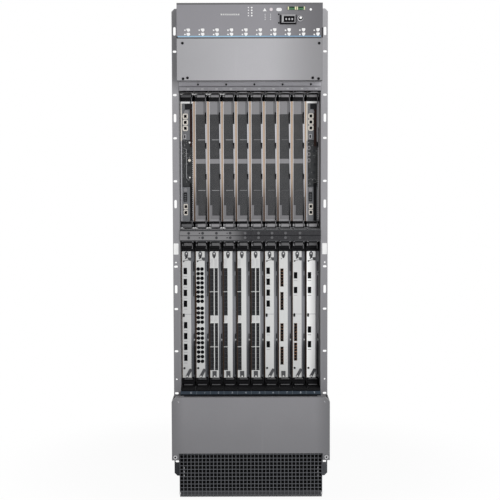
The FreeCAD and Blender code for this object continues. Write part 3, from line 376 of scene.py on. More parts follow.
behindRail = railY + 8
paintNode("upper_card_rail", "rail", [
    ("tray", lambda p, n: p.y > behindRail),
    # painted shade: the underside and the recessed lower strip are painted near-black
    ("void", lambda p, n: n.z < -0.5 or p.z < upperRoof + 4.7),
    ("screwStrip", lambda p, n: p.z > upperRoof + 18),
])
# the middle rail's front takes the bar paint with its painted reflection
paintNode("mid_card_rail", "bar", [
    ("dark", lambda p, n: n.y > -0.5 and p.y < behindRail),
    ("tray", lambda p, n: p.y > behindRail),
    ("shade", lambda p, n: abs(p.z - midLow - 18.75) > 14.3),
])
paintNode("lower_card_rail", "dark", [
    ("tray", lambda p, n: p.y > faceY + 30 and n.z < 0.5),
    ("number", lambda p, n: n.z > 0.5 and p.y < flangeY),
])
paintNode("lower_air_cover", "cover", [("tray", lambda p, n: p.y < coverY - 0.5)])
paintNode("power_modules", "module", [
    ("handle", lambda p, n: p.y > rearY + 3.5),
    ("black", lambda p, n: rearY - 18 <= p.y <= rearY + 2.5 and 38 < p.z - coverLow < 72),
])
fanTrays = [(row, side) for row in ("lower", "upper") for side in ("left", "right")]
for row, side in fanTrays:
    paintNode(f"fan_tray_{row}_{side}", "module", [
        ("handle", lambda p, n: p.y > rearY + 0.5),
        ("black", lambda p, n: rearY - 47 < p.y < rearY - 2.1),
    ])

# Raised items of the status panel: where they lie across and up
panelItems = {"keys": ((-230, 230), (1412, 1437)), "terminals": ((114, 167), (1489, 1501)),
              "display": ((94, 140), (1448, 1477))}


def onItem(item):
    (left, right), (low, high) = panelItems[item]
    return lambda p, n: p.y < craftY - 0.1 and left <= p.x <= right and low <= p.z <= high


onDisplay = onItem("display")
paintNode("craft_panel", "status", [
    ("white", onItem("keys")),
    ("terminal", onItem("terminals")),
    ("void", lambda p, n: onDisplay(p, n) and n.y < -0.9 and p.y > craftY - 4),
    ("labelCard", onDisplay),
])

# Which line card carries what
cards = {"swing": (0, 1, 6, 8, 9), "split": (0, 6, 8, 9), "splitZ": 550.1, "jacks": (1,), "strips": (3, 4),
         "wideStrips": (2, 5), "cages": (7, 8), "last": 9}


def lineCard(slot):
    return f"line_card_{slot}"


def upperCard(slot):
    return {0: "control_card_left", cards["last"]: "control_card_right"}.get(slot, f"fabric_card_{slot}")


# Card solids: inside parts by their place across the slot, faces by their height
def cardInside(slot):
    x = slotX(slot)
    behind = faceY + 24.5
    return [
        ("port", lambda p, n: p.y > faceY + 497.5),
        ("sinkMetal", lambda p, n: p.y > behind and p.x > x + 10),
        ("board", lambda p, n: p.y > behind and p.x > x + 5),
        ("tray", lambda p, n: p.y > behind),
    ]


def paintLineCard(slot):
    x = slotX(slot)
    low = lineLow
    high = lineHigh
    last = slot == cards["last"]
    well = "void"
    if slot in cards["cages"]:
        well = "cage"
    elif slot in cards["strips"] + cards["wideStrips"]:
        well = "portGrey"

    def inPort(p, n):
        return faceY + 0.3 <= p.y <= faceY + 3.1 and low + 5 <= p.z <= high - 5 and p.x > x + 3.6

    def onPlate(p, n):
        return low - 0.1 <= p.z <= high + 0.1 and p.x < x + 32.6

    rules = cardInside(slot)
    if slot in cards["cages"] and slot in cards["split"]:  # single ports above copper cages
        rules.append(("void", lambda p, n: inPort(p, n) and p.z > cards["splitZ"]))
    rules += [
        (well, inPort),
        ("brownEdge", lambda p, n: onPlate(p, n) and p.x < x + 3.4),
        ("lastPlate" if last else "plate", onPlate),
        ("lastCarrier" if last else "carrier", lambda p, n: low <= p.z <= high),
    ]
    paintNode(lineCard(slot), "dark", rules)


def paintUpperCard(slot):
    x = slotX(slot)
    low = upperLow
    high = upperHigh
    card = upperCard(slot)
    rules = cardInside(slot) + [
        ("grip", lambda p, n: p.y < faceY - 8.5 and (p.z > high + 14.5 or p.z < low - 12.2)),
        ("black", lambda p, n: p.z > high + 0.1 or p.z < low - 0.1),
        ("gasket", lambda p, n: p.x > x + 42.4),
        ("cardEdge", lambda p, n: p.y < faceY - 1.7),
        ("cream", lambda p, n: p.y < faceY - 0.2),
        ("void", lambda p, n: p.y > faceY + 0.2 and x + 4.9 <= p.x <= x + 39.1),
    ]
    paintNode(card, "fabricFace" if card.startswith("fabric") else "controlFace", rules)


for slot in slots:
    paintLineCard(slot)
    paintUpperCard(slot)
    paintNode(f"line_lever_upper_{slot}", "black")
    paintNode(f"line_lever_lower_{slot}", "black")
print("packed solids painted")

# Modelling by hand: start a primitive, pick its faces or edges, shape them
pieces = {}
roundTurn = {"x": (0, math.pi / 2, 0), "y": (math.pi / 2, 0, 0), "z": (0, 0, 0)}
turnRear = Matrix.Rotation(math.pi, 4, "Z")
turnLeft = Matrix.Rotation(-math.pi / 2, 4, "Z")
turnRight = Matrix.Rotation(math.pi / 2, 4, "Z")
turnUp = Matrix.Rotation(-math.pi / 2, 4, "X")


# Tests for picking: by the middle of a face or edge and its normal or direction
def anything(*where):
    return True


def faceFront(middle, normal):
    return normal.y < -0.9


def flatFront(middle, normal):
    return normal.y < -0.99


def deep(middle, direction):
    return abs(direction.y) > 0.9


def ahead(limit):
    return lambda c, d: c.y < limit


def uprightAhead(limit):
    return lambda c, d: abs(d.z) > 0.9 and c.y < limit


def deselect():
    bpy.ops.object.select_all(action="DESELECT")


def activate(piece):
    deselect()
    piece.select_set(True)
    bpy.context.view_layer.objects.active = piece


def settle(name, paint, size=None):
    piece = bpy.context.object
    piece.name = name
    if size:
        piece.scale = size
    bpy.ops.object.transform_apply()
    piece.data.materials.append(finishes[paint])
    return piece


def pick(piece, kind, test):
    activate(piece)
    bpy.ops.object.mode_set(mode="EDIT")
    bpy.ops.mesh.select_mode(type=kind)
    bpy.ops.mesh.select_all(action="DESELECT")
    bpy.ops.object.mode_set(mode="OBJECT")
    mesh = piece.data
    if kind == "FACE":
        for face in mesh.polygons:
            face.select = test(face.center / mm, face.normal)
    elif kind == "EDGE":
        for edge in mesh.edges:
            start, end = (mesh.vertices[corner].co for corner in edge.vertices)
            edge.select = test((start + end) / (2 * mm), (end - start).normalized())
    else:
        for corner in mesh.vertices:
            corner.select = test(corner.co / mm)
    bpy.ops.object.mode_set(mode="EDIT")


def leave():
    bpy.ops.object.mode_set(mode="OBJECT")


def bevel(piece, width, segments=1, test=anything):
    pick(piece, "EDGE", test)
    bpy.ops.mesh.bevel(offset=width * mm, segments=segments, affect="EDGES")
    leave()


def press(piece, test, border, move):
    pick(piece, "FACE", test)
    bpy.ops.mesh.inset(thickness=border * mm)
    bpy.ops.mesh.extrude_region_move(TRANSFORM_OT_translate={"value": Vector(move) * mm})
    leave()


def draw(piece, test, move):
    pick(piece, "FACE", test)
    bpy.ops.mesh.extrude_region_move(TRANSFORM_OT_translate={"value": Vector(move) * mm})
    leave()


def nudge(piece, test, move):
    pick(piece, "VERT", test)
    bpy.ops.transform.translate(value=Vector(move) * mm)
    leave()


def swing(piece, test, degrees, axis, at):
    pick(piece, "VERT", test)
    bpy.ops.transform.rotate(value=math.radians(-degrees), orient_axis=axis, center_override=Vector(at) * mm)
    leave()


# A block by its span across, in depth and up, then the width, segments and edges of its bevel
def block(name, paint, x, y, z, soft=0, segments=1, edges=anything):
    deselect()
    low = Vector((x[0], y[0], z[0])) * mm
    high = Vector((x[1], y[1], z[1])) * mm
    bpy.ops.mesh.primitive_cube_add(size=1, location=(low + high) / 2)
    piece = settle(name, paint, high - low)
    if soft:
        bevel(piece, soft, segments, edges)
    return piece


def span(pair, shift):
    return pair[0] + shift, pair[1] + shift


def face(front, back):
    return faceY + front, faceY + back


# Rows of blocks, with x, y and z counted from one place
def blocks(rows, x=0, y=faceY, z=0):
    return [block(name, paint, span(across, x), span(depth, y), span(rise, z), *soft)
            for name, paint, across, depth, rise, *soft in rows]


def startRound(name, paint, axis, radius, length, at, sides):
    deselect()
    bpy.ops.mesh.primitive_cylinder_add(vertices=sides, radius=radius * mm, depth=length * mm,
                                        location=Vector(at) * mm, rotation=roundTurn[axis])
    return settle(name, paint)


def roundHead(name, paint, radius, length, at, sides, soft, segments=1):
    head = startRound(name, paint, "y", radius, length, at, sides)
    bevel(head, soft, segments, ahead(at[1] - length / 2 + 0.1))
    return head


def panelScrew(paint, radius, height):
    head = roundHead("panelScrew", paint, radius, height, (0, -height / 2, 0), 10, height * 0.35)
    press(head, faceFront, radius * 0.4, (0, height * 0.5, 0))
    return head


def lampHead(paint, radius, height, sides=10):
    return roundHead("lampHead", paint, radius, height, (0, -height / 2, 0), sides, height * 0.6, 2)


def startGrid(name, paint, columns, rows, x, y, z):
    deselect()
    middle = Vector(((x[0] + x[1]) / 2, y, (z[0] + z[1]) / 2)) * mm
    bpy.ops.mesh.primitive_grid_add(x_subdivisions=columns, y_subdivisions=rows, size=1,
                                    location=middle, rotation=roundTurn["y"])
    return settle(name, paint, ((x[1] - x[0]) * mm, (z[1] - z[0]) * mm, 1))


def openCells(piece, bar, sheet):
    pick(piece, "FACE", anything)
    bpy.ops.mesh.inset(use_individual=True, thickness=bar / 2 * mm)
    bpy.ops.mesh.delete(type="FACE")
    leave()
    wall = piece.modifiers.new("sheet", "SOLIDIFY")
    wall.thickness = sheet * mm
    bpy.ops.object.modifier_apply(modifier=wall.name)


def repeatAlong(piece, count, step):
    row = piece.modifiers.new("row", "ARRAY")
    row.use_relative_offset = False
    row.use_constant_offset = True
    row.constant_offset_displace = Vector(step) * mm
    row.count = count
    activate(piece)
    bpy.ops.object.modifier_apply(modifier=row.name)


def spread(master, moves, turn=None):
    copies = []
    for move in moves:
        twin = master.copy()
        twin.data = master.data.copy()
        if turn:
            twin.data.transform(turn)
        twin.data.transform(Matrix.Translation(Vector(move) * mm))
        bpy.context.collection.objects.link(twin)
        copies.append(twin)
    bpy.data.objects.remove(master)
    return copies


def join(name, bits):
    deselect()
    for bit in bits:
        bit.select_set(True)
    bpy.context.view_layer.objects.active = bits[0]
    if len(bits) > 1:
        bpy.ops.object.join()
    whole = bpy.context.view_layer.objects.active
    whole.name = name
    return whole


def keep(body, name, slot, *bits):
    pieces.setdefault((body, name, slot), []).extend(bits)


def front(name, *bits):
    keep("chassis", name, "front_paint", *bits)


# One set of bits, modelled for a slot at x = 0, on the cards or levers of several slots
def deal(owner, title, paintSlot, bits, places):
    copies = spread(join(title, bits), [(slotX(place), 0, 0) for place in places])
    for place, copy in zip(places, copies):
        keep(owner(place), title.format(place), paintSlot, copy)


# Intake: grille at the photo's pitch with its bent foot, end plates and the filter behind it
intake = {"columns": 38, "rows": 22, "frontRows": 13, "pitch": 11.45, "bar": 1.9, "sheet": 1.2, "turn": 45,
          "pleat": 8.0, "studX": 207.0, "studZ": (68.0, 80.0, 92.0)}


def intakeGrille():
    half = inner - 1
    y = craftY
    top = cadEdge("intake_grille", 1, 2)
    pitch = intake["pitch"]
    fold = top - pitch * intake["frontRows"]
    mesh = startGrid("intakeGrille", "grille", intake["columns"], intake["rows"], (-half, half), y,
                     (top - pitch * intake["rows"], top))
    swing(mesh, lambda c: c.z < fold - 1, intake["turn"], "X", (0, y, fold))
    run = pitch * math.cos(math.radians(intake["turn"]))
    swing(mesh, lambda c: c.y > y + run + 1, intake["turn"], "X", (0, y + run, fold - run))
    openCells(mesh, intake["bar"], intake["sheet"])
    depth = (y + 1, flangeY + 8)
    ends = [block("intakeEnd", "grille", x, depth, (10, top), 0.3)
            for x in ((-half - 1, -half), (half, half + 1))]
    whole = join("intakeGrille", [mesh] + ends)
    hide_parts("intake_grille")
    front("intakeGrille", whole)
    pleat = block("filterPleat", "foam", span((0, intake["pleat"]), 4 - half), (y + 16, y + 28),
                  (20, top - 4), 3.2, 2, uprightAhead(y + 17))
    repeatAlong(pleat, round(2 * (half - 4) / intake["pleat"]), (intake["pleat"], 0, 0))
    tray = block("filterTray", "shade", (2 - half, half - 2), (y + 3.4, flangeY + 6), (2.7, 22),
                 5.8, 1, lambda c, d: c.y < y + 4 and c.z < 3 and abs(d.x) > 0.9)
    stud = roundHead("trayStud", "labelMark", 2.6, 12, (0, y + 11, 0), 10, 0.8, 2)
    studs = spread(stud, [(side * intake["studX"], 0, z) for side in (-1, 1) for z in intake["studZ"]])
    front("airFilter", pleat, tray, *studs)


intakeGrille()

# Lower cover: knurled thumb screws, small marks and the shade along its upper edge
hood = {"thumbX": 231.5, "thumbZ": 132.5, "thumbRadius": 6.2, "markX": (-221, 226), "markZ": 303,
        "lipHalf": 205.0}


def hoodTrim():
    y = coverY
    head = startRound("thumbScrew", "tray", "y", hood["thumbRadius"], 6.2, (0, -3.3, 0), 24)
    pick(head, "FACE", lambda c, n: abs(n.y) < 0.1)
    bpy.ops.mesh.inset(use_individual=True, thickness=0.35 * mm, depth=-0.4 * mm)
    leave()
    bevel(head, 0.5, 1, lambda c, d: c.y < -6.3 and (c.x ** 2 + c.z ** 2) > 30)
    press(head, faceFront, 1.6, (0, 1.4, 0))
    screw = join("thumbScrew", [head] + spread(lampHead("void", 3.4, 1.2, 12), [(0, -4.9, 0)]))
    front("thumbScrews", *spread(screw, [(side * hood["thumbX"], y, hood["thumbZ"]) for side in (-1, 1)]))
    mark = block("coverMark", "labelMark", (-1.0, 1.0), (-0.5, 0.1), (-3.0, 3.0), 0.8, 2, deep)
    swing(mark, anything, -35, "Y", (0, 0, 0))
    front("coverMarks", *spread(mark, [(x, y, hood["markZ"]) for x in hood["markX"]]))
    half = hood["lipHalf"]
    top = cadEdge("lower_air_cover", 1, 2)
    lip = block("lipShade", "void", (-half, half), (y + 17, y + 30.2), (top - 2.2, top + 0.35), 0.2)
    front("coverLipShade", lip)


hoodTrim()

# Status panel: places are read off the photo in pixels and turned into millimetres
craft = {"scale": 3.0085, "middle": 250.23, "pixelTop": 3.0, "rise": 2.978, "tilt": 0.00274}


def craftAt(px, py):
    x = (px - craft["middle"] - craft["tilt"] * (py - 250)) * craft["scale"]
    drop = py - craft["pixelTop"] + craft["tilt"] * (px - 250)
    return x, craftY, panelTop - drop * craft["rise"]


statusParts = {
    "lampRow": [(221.1 + 1.96 * k, 14.5) for k in range(10)],
    "tags": [(184.8 + 14.38 * k, row) for k in range(10) for row in (30.2, 34.5)],
    "heads": (  # paint, radius, height, sides, places
        ("lamp", 1.35, 1.0, 8, [(x, 14.3 + 1.74 * k) for x in (265.0, 270.5) for k in range(4)]),
        ("lamp", 2.1, 1.2, 10, [(248.3, 7.6 + 2.7 * k) for k in range(4)]),
        ("white", 2.6, 1.2, 10, [(251.6, 7.6 + 2.7 * k) for k in range(4)]),
        ("white", 4.6, 1.2, 16, [(188.5 + 14.37 * k, row) for k in range(10) for row in (30.1, 34.2)]),
        ("pinkLamp", 5.0, 1.6, 20, [(271, 9.4)]),
        ("white", 3.7, 1.4, 16, [(310.6, 9.4)]),
    ),
    "arrow": (264.6, 9.6),
    "oval": (278.9, 9.6),
    "stripe": (1410.2, 1413.6),
}


def statusPanel():
    y = craftY
    row = [craftAt(*place) for place in statusParts["lampRow"]]
    bits = spread(block("lampWindow", "brightTab", (-1.55, 1.55), (-0.5, 0), (-2.3, 2.3), 0.8, 2, deep), row)
    bits.append(block("lampStrip", "shade", (row[0][0] - 3, row[-1][0] + 3), (y - 0.25, y + 0.2),
                      span((-1.7, 1.7), row[0][2]), 0.1))
    for paint, radius, height, sides, places in statusParts["heads"]:
        bits += spread(lampHead(paint, radius, height, sides), [craftAt(*place) for place in places])
    tag = block("keyTag", "white", (-2.2, 2.2), (-0.5, 0), (-2, 2), 1.2, 2, deep)
    bits += spread(tag, [craftAt(*place) for place in statusParts["tags"]])
    arrow = roundHead("arrowLens", "white", 6.6, 1.2, (0, -0.6, -1.6), 3, 0.5, 2)
    bits += spread(arrow, [craftAt(*statusParts["arrow"])])
    button = block("ovalButton", "lamp", (-8.6, 8.6), (-2.2, 0), (-5.1, 5.1), 4.9, 5, deep)
    bevel(button, 0.7, 2, ahead(-2.1))
    press(button, flatFront, 2.4, (0, 0.5, 0))
    bits += spread(button, [craftAt(*statusParts["oval"])])
    front("statusLamps", *bits)
    front("blueStripe", block("blueStripe", "blue", (2.5 - inner, inner - 6), (y - 0.35, y + 0.5),
                              statusParts["stripe"], 0.2))
    top = panelTop
    low = craftLow
    under = coverLow
    front("panelEdges", *blocks((
        ("topEdge", "grip", (-inner, inner), (-0.4, 30), (top - 4.4, top + 0.8), 0.6, 2,
         lambda c, d: abs(d.x) > 0.9),
        ("cornerSlit", "void", (inner - 3.2, inner + 0.3), (-0.3, 20), (1407.5, 1438), 0.3),
        ("cornerNotch", "void", (-inner - 0.3, 3 - inner), (-0.3, 10), (1406.5, 1412), 0.3),
        ("panelSeam", "shade", (1 - inner, inner - 4), (-0.2, 2), (low - 3.4, low - 0.4), 0.15),
        ("coverSeam", "shade", (1 - inner, inner - 1), (0.2, 4), (under - 2, under + 0.4), 0.15),
    ), y=y))


statusPanel()

# Terminal plugs, the framed connector and the jack beside it
terminal = {"x": (114.5, 141.5), "width": 24.5, "drop": 16.4, "ways": 5}
framed = {
    "x": 117.0,
    "drop": 48.6,
    # the three near-black bars are painted shadow along the frame's left, bottom and right sides; the last
    # entry is a light border strip
    "sides": (("void", (-25.6, -21.4), (-14.7, 12.6)), ("void", (-25.6, 23.4), (-15.2, -11.0)),
              ("void", (21.0, 23.6), (-14.0, 13.0)), ("labelMark", (-19.4, -14.8), (-8.0, 10.0))),
    "pins": (-7.2, 1.9, 10.8),
    "screws": ((278.7, 14.3), (278.7, 22.9)),
}


def terminalPlugs():
    y = craftY - 6
    z = panelTop - terminal["drop"]
    wide = terminal["width"]
    step = (wide - 8) / terminal["ways"]
    bits = []
    for left in terminal["x"]:
        for x in (left - 0.3, left + wide - 3.4):
            end = block("terminalEnd", "terminalEnd", (x, x + 3.7), (y - 1.2, y + 6), (z - 4.7, z + 4.7),
                        0.7, 2)
            press(end, faceFront, 0.9, (0, 0.6, 0))
            bits.append(end)
        way = block("terminalWay", "terminal", (left + 4, left + 3.5 + step), (y - 0.8, y + 1),
                    (z - 4.3, z + 1))
        press(way, faceFront, 0.7, (0, 1.2, 0))
        repeatAlong(way, terminal["ways"], (step, 0, 0))
        bits.append(way)
        # a near-black strip behind the upper part of the ways: painted shade
        bits += blocks([("terminalBack", "void", (4, wide - 4), (-0.25, 1), (1.6, 4.2), 0.2)], left, y, z)
    front("terminalPlugs", *bits)


def framedConnector():
    x = framed["x"]
    y = craftY
    top = panelTop
    z = top - framed["drop"]
    # the bright pin in the jack stands in for its highlight: painted highlight
    ball = roundHead("jackPin", "brightTab", 4.1, 5, (153.4, y - 4.2, top - 44.8), 16, 1.2, 3)
    ring = roundHead("jackRing", "fabricEdge", 8.6, 1.6, (152, y - 4.6, top - 46.8), 20, 0.4)
    well = startRound("jackWell", "void", "y", 6.9, 0.8, (152.8, y - 5.1, top - 46.4), 16)
    bevel(well, 0.2)
    bits = [ball, ring, well]
    pin = block("connectorPin", "fabricEdge", (-2.3, 2.3), (y - 4.6, y - 2.4), (-3.0, 3.0), 0.8, 2)
    bits += spread(pin, [(x + offset, 0, z) for offset in framed["pins"]])
    # painted shadow bars and a light border strip on the connector frame
    bits += blocks([("connectorSide", paint, across, (-6.5, -0.1), rise, 0.3)
                    for paint, across, rise in framed["sides"]], x, y, z)
    bits += spread(panelScrew("black", 2.4, 1.4), [craftAt(*place) for place in framed["screws"]])
    front("framedConnector", *bits)


terminalPlugs()
framedConnector()
print("status panel made")

# Screws of the plain cover, trim of the upper rail and screws of the middle bars
screwPlan = {
    "cover": [(182.2, 43.2), (319.2, 43.2), (182.8, 79.0), (187.2, 78.1), (312.9, 78.0), (318.7, 78.8)],
    "railX": [-160.6, -73.2, 13.9, 101.3, 188.8],
    "railZ": 1273.6,
    "shadeX": [-192, -148.5, -105.5, -62.5],
    "gripX": [-16.2, 25.7, 67.7, 109.8, 154.9],
    "barZ": (798.6, 812.9),
    "pinX": (-158.8, -72.3),
    "labelZ": (1253.9, 1266.7),
    "lipX": (11.9, 34.2),
    "lipZ": (1248.3, 1250.0),
    "firstLip": 4,
}


def railScrews():
    screw = panelScrew("black", 4.2, 1.8)
    front("coverScrews", *spread(screw, [craftAt(*place) for place in screwPlan["cover"]]))
    y = railY
    low, high = screwPlan["labelZ"]
    starts = [(slotX(slot), 0, 0) for slot in slots]
    bits = spread(panelScrew("black", 3.2, 1.6), [(x, y + 3, screwPlan["railZ"]) for x in screwPlan["railX"]])
    card = block("labelField", "labelField", (2, 22), (y - 0.35, y + 0.2), (low + 3.2, high - 2.6))
    press(card, faceFront, 0.7, (0, 0.15, 0))
    mark = block("labelMark", "labelMark", (25, 33), (y - 0.5, y + 0.2), (low + 3.6, high - 4.4), 0.15)
    bits += spread(card, starts) + spread(mark, starts)
    bits += blocks([("railSeam", "shade", (1 - inner, inner - 1), (-0.2, 1.5), rise, 0.15)
                    for rise in ((low - 0.2, low + 0.8), (high, high + 1.4))], y=y)
    lip = block("railLip", "labelCard", screwPlan["lipX"], (y + 0.6, y + 3.4), screwPlan["lipZ"], 0.4)
    bits += spread(lip, starts[screwPlan["firstLip"]:])
    keep("chassis", "upperRailTrim", "rail_paint", *bits)
    heads = ((panelScrew("shade", 4.3, 1.2), "shadeX"), (panelScrew("grip", 4.3, 1.2), "gripX"),
             (lampHead("void", 1.9, 0.5, 8), "pinX"))
    for head, columns in heads:
        keep("chassis", "middleBarScrews", "rail_paint",
             *spread(head, [(x, y, z) for x in screwPlan[columns] for z in screwPlan["barZ"]]))


railScrews()

# Slot numbers on the sloping strip, the ribs between them and the shades along its edges
numbers = {"size": 15.0, "narrow": 0.62, "first": -187.0, "divider": -212.55, "pitch": 42.95, "slope": 19.5,
           "front": -28.0, "up": 9.0, "foot": 307.5, "shades": ((-8.5, -5.0), (14.5, 19.8))}


def slotNumbers():
    slope = math.radians(numbers["slope"])
    y = flangeY + numbers["front"] + numbers["up"]
    z = numbers["foot"] + numbers["up"] * math.tan(slope)
    bits = []
    for slot in slots:
        deselect()
        bpy.ops.object.text_add()
        word = bpy.context.object
        word.data.body = str(slot)
        word.data.size = numbers["size"] * mm
        word.data.align_x = "CENTER"
        word.data.extrude = 0.15 * mm
        bpy.ops.object.convert(target="MESH")
        word = bpy.context.object
        word.scale = (numbers["narrow"], 1, 1)
        word.rotation_euler = (slope, 0, 0)
        word.location = Vector((numbers["first"] + numbers["pitch"] * slot, y, z)) * mm
        bits.append(settle("slotNumber", "digit"))
    rib = block("slotDivider", "tick", (-0.7, 0.7), (y - 6, y + 15), (z - 0.1, z + 0.3), 0.15)
    shades = blocks([("stripShade", "void", (2 - inner, inner - 2), depth, (-0.2, 0.35), 0.15)
                     for depth in numbers["shades"]], y=y, z=z)
    for flat in [rib] + shades:
        swing(flat, anything, numbers["slope"], "X", (0, y, z))
    bits += spread(rib, [(numbers["divider"] + numbers["pitch"] * slot, 0, 0) for slot in slots[1:]])
    keep("chassis", "slotNumbers", "rail_paint", *bits, *shades)


slotNumbers()

# Pale plates on the flanges
flangePlate = {"x": 232.0, "half": 7.5, "z": (746.0, 781.0)}


def flangePlates():
    y = flangeY
    half = flangePlate["half"]
    plate = block("flangePlate", "white", (-half, half), (y - 0.8, y + 0.2), flangePlate["z"], 2.0, 3, deep)
    bevel(plate, 0.25, 1, ahead(y - 0.7))
    front("flangePlates", *spread(plate, [(side * flangePlate["x"], 0, 0) for side in (-1, 1)]))


flangePlates()
print("front trim made")

# Fabric cards: wire mesh in the windows, tapered finger strip, cross wires, clips and gasket
fabric = {
    "pitch": 3.4,
    "wire": 1.1,
    "sheet": 0.6,
    "right": 38.4,
    "windows": ((5.2, (897.4, 1028.7)), (5.2, (1043.9, 1183.5)), (12.2, (864.9, 897.4))),  # left edge, height
    "crossWires": (944.4, 1103.9),
    "crossX": (11.3, 34.6),
    "clips": ((1153.0, 1190.0), (1075.5, 1094.5), (979.0, 996.5)),
    "stripZ": (924.0, 1154.0),
    "stripX": (34.4, 37.8, 39.4),
    "fingerPitch": 6.5,
    "gasketX": (40.9, 45.2),
    "tapeX": (1.5, 2.9),
    "footLight": (5.4, 34.6),
}


def fingerRow(low, high, x, paint):
    finger = block("springFinger", paint, (x, x + 1.8), face(-4.4, -2.4), (low, low + 3.4))
    nudge(finger, lambda c: c.x < x + 0.1, (0, 1.2, 0))
    repeatAlong(finger, int((high - low) / fabric["fingerPitch"]), (0, 0, fabric["fingerPitch"]))
    return finger


def edgeStrip(name, x, back, soft):
    rise = (upperLow + 0.5, upperHigh - 0.5)
    return block(name, "gasket", x, (faceY - 4.7, faceY + back), rise, soft, 2, uprightAhead(faceY))


def fabricMesh():
    y = faceY + 1.6
    right = fabric["right"]
    bits = []
    for left, (low, high) in fabric["windows"]:
        columns = round((right - left) / fabric["pitch"])
        rows = round((high - low) / fabric["pitch"])
        bits.append(startGrid("fabricMesh", "meshWire", columns, rows, (left, right), y, (low, high)))
        openCells(bits[-1], fabric["wire"], fabric["sheet"])
    return bits + blocks([("crossWire", "crossWire", fabric["crossX"], (-0.9, 0.6), (z - 0.9, z + 0.9), 0.3)
                          for z in fabric["crossWires"]], y=y)


def fabricRail():
    low = upperLow
    upperX, lowerX, right = fabric["stripX"]
    foot, head = fabric["stripZ"]
    strip = block("fingerStrip", "cardEdge", (lowerX, right), face(-2.6, 5.8), (foot, head))
    nudge(strip, lambda c: c.z > head - 1 and c.x < right - 1, (upperX - lowerX, 0, 0))
    bevel(strip, 0.5, 2, uprightAhead(faceY))
    bits = [strip, fingerRow(low + 4, head, right - 0.9, "fabricEdge")]
    bits += blocks((
        ("plateGroove", "fabricGroove", (29.5, 38.9), (-0.5, 1), (1184, upperHigh - 0.6), 0.3),
        ("footBand", "fabricGroove", (35.8, 38.9), (-0.3, 2), (low + 0.6, foot), 0.2),
        ("footLight", "labelCard", fabric["footLight"], (-0.4, 1), (low + 1.2, low + 5.6), 0.2),
    ))
    gasket = edgeStrip("edgeGasket", fabric["gasketX"], 8, 0.9)
    return bits + [gasket, edgeStrip("edgeTape", fabric["tapeX"], 1, 0.4)]


def fabricClips():
    bits = []
    for low, high in fabric["clips"]:
        clip = block("springClip", "black", (34.4, 38.8), face(-4.8, -0.5), (low, high))
        nudge(clip, lambda c: c.z < low + 0.1 and c.x < 36, (1.6, 0, 0))
        bits.append(clip)
    foot = fabric["stripZ"][0]
    wedge = block("footClip", "black", (35.4, 39.6), face(-4.8, -0.4), (upperLow + 1, foot))
    nudge(wedge, lambda c: c.z > foot - 1 and c.x < 37, (2.4, 0, 0))
    bits.append(wedge)
    for bit in bits:
        bevel(bit, 0.5)
    return bits


deal(upperCard, "fabricCard{}Mesh", "card_frame", fabricMesh(), slots[1:-1])
deal(upperCard, "fabricCard{}Rail", "card_frame", fabricRail(), slots[1:-1])
deal(upperCard, "fabricCard{}Clips", "lever_plastic", fabricClips(), slots[1:-1])

# Handles of the upper cards: corner tabs, grip pads, nubs and thin edge strips
handle = {
    "tabs": ((0.4, 11.6, -3.6, 4), (35.4, 43.5, 3.6, 3)),  # left, right, slant, how many are bright
    "headZ": (1244.2, 1248.7),
    "footZ": (824.4, 828.0),
    "padX": (9.2, 35.0),
    "firstPadX": (3.0, 34.6),
    "padZ": ((1237.4, 1243.0), (830.4, 838.4)),
    "nubs": ((3.0, 8.2), (38.2, 40.4)),
    "strip": (35.4, 36.6),
    "stripZ": ((1219.0, 1238.0), (832.0, 850.0)),
}


def handleTabs(left, right, slant, paint):
    depth = face(-11, -7.6)
    head = block("headTab", paint, (left, right), depth, handle["headZ"])
    nudge(head, lambda c: c.z < handle["headZ"][0] + 1 and abs(c.x - 22) < 16, (slant, 0, 0))
    foot = block("footTab", paint, (left, right), depth, handle["footZ"])
    nudge(foot, lambda c: c.z > handle["footZ"][1] - 1 and abs(c.x - 22) < 16, (slant, 0, 0))
    bevel(head, 0.4)
    bevel(foot, 0.4)
    return [head, foot]


def handlePads(paint, x, nubPaint, nubs):
    bits = []
    for low, high in handle["padZ"]:
        pad = block("gripPad", paint, x, face(-20.6, -8), (low - 0.6, high + 0.6), 0.9, 2)
        press(pad, faceFront, 1.4, (0, 0.5, 0))
        bits.append(pad)
        bits += blocks([("handleNub", nubPaint, across, (-12, -7), (low, high), 0.8, 2) for across in nubs])
    return bits + blocks([("handleStrip", "labelCard", handle["strip"], (-9.4, -7.8), rise, 0.3)
                          for rise in handle["stripZ"]])


def upperHandles():
    parts = []
    for left, right, slant, bright in handle["tabs"]:
        parts += [(handleTabs(left, right, slant, "brightTab"), slots[:bright]),
                  (handleTabs(left, right, slant, "fabricGroove"), slots[bright:])]
    nubs = handle["nubs"]
    # pads of the cards after the first take the paler grip copy: painted light
    parts += [(handlePads("grip", handle["firstPadX"], "fabricGroove", nubs[1:]), slots[:1]),
              (handlePads("paleGrip", handle["padX"], "fabricGroove", nubs), slots[1:2]),
              (handlePads("paleGrip", handle["padX"], "labelMark", nubs), slots[2:])]
    for bits, places in parts:
        deal(upperCard, "upperHandle{}", "lever_plastic", bits, places)


upperHandles()
print("fabric cards made")

# Control cards: pale frame, socket rims, cover block, open board window, dark side band
control = {
    "x": 16.0,
    "rings": ((8.4, 8.6, 4.4, 2.6, (1178.0, 1159.2, 1140.4)), (6.6, 8.4, 3.0, 2.0, (874.4, 893.2))),
    "usb": (1108.0, 1120.0),
    "window": (955.4, 1102.5),
    "chips": ((24, 14), (22, 40), (25, 66), (22, 108)),
    "pins": ((8, 30), (13, 62), (9, 104), (28, 90)),
    "latch": (909.0, 938.0),
    "coverZ": (1199.5, 1216.5),
    "archZ": 1191.0,
    "bandLeft": (30.4, 37.8),
    "bandRight": (25.2, 34.0),
}


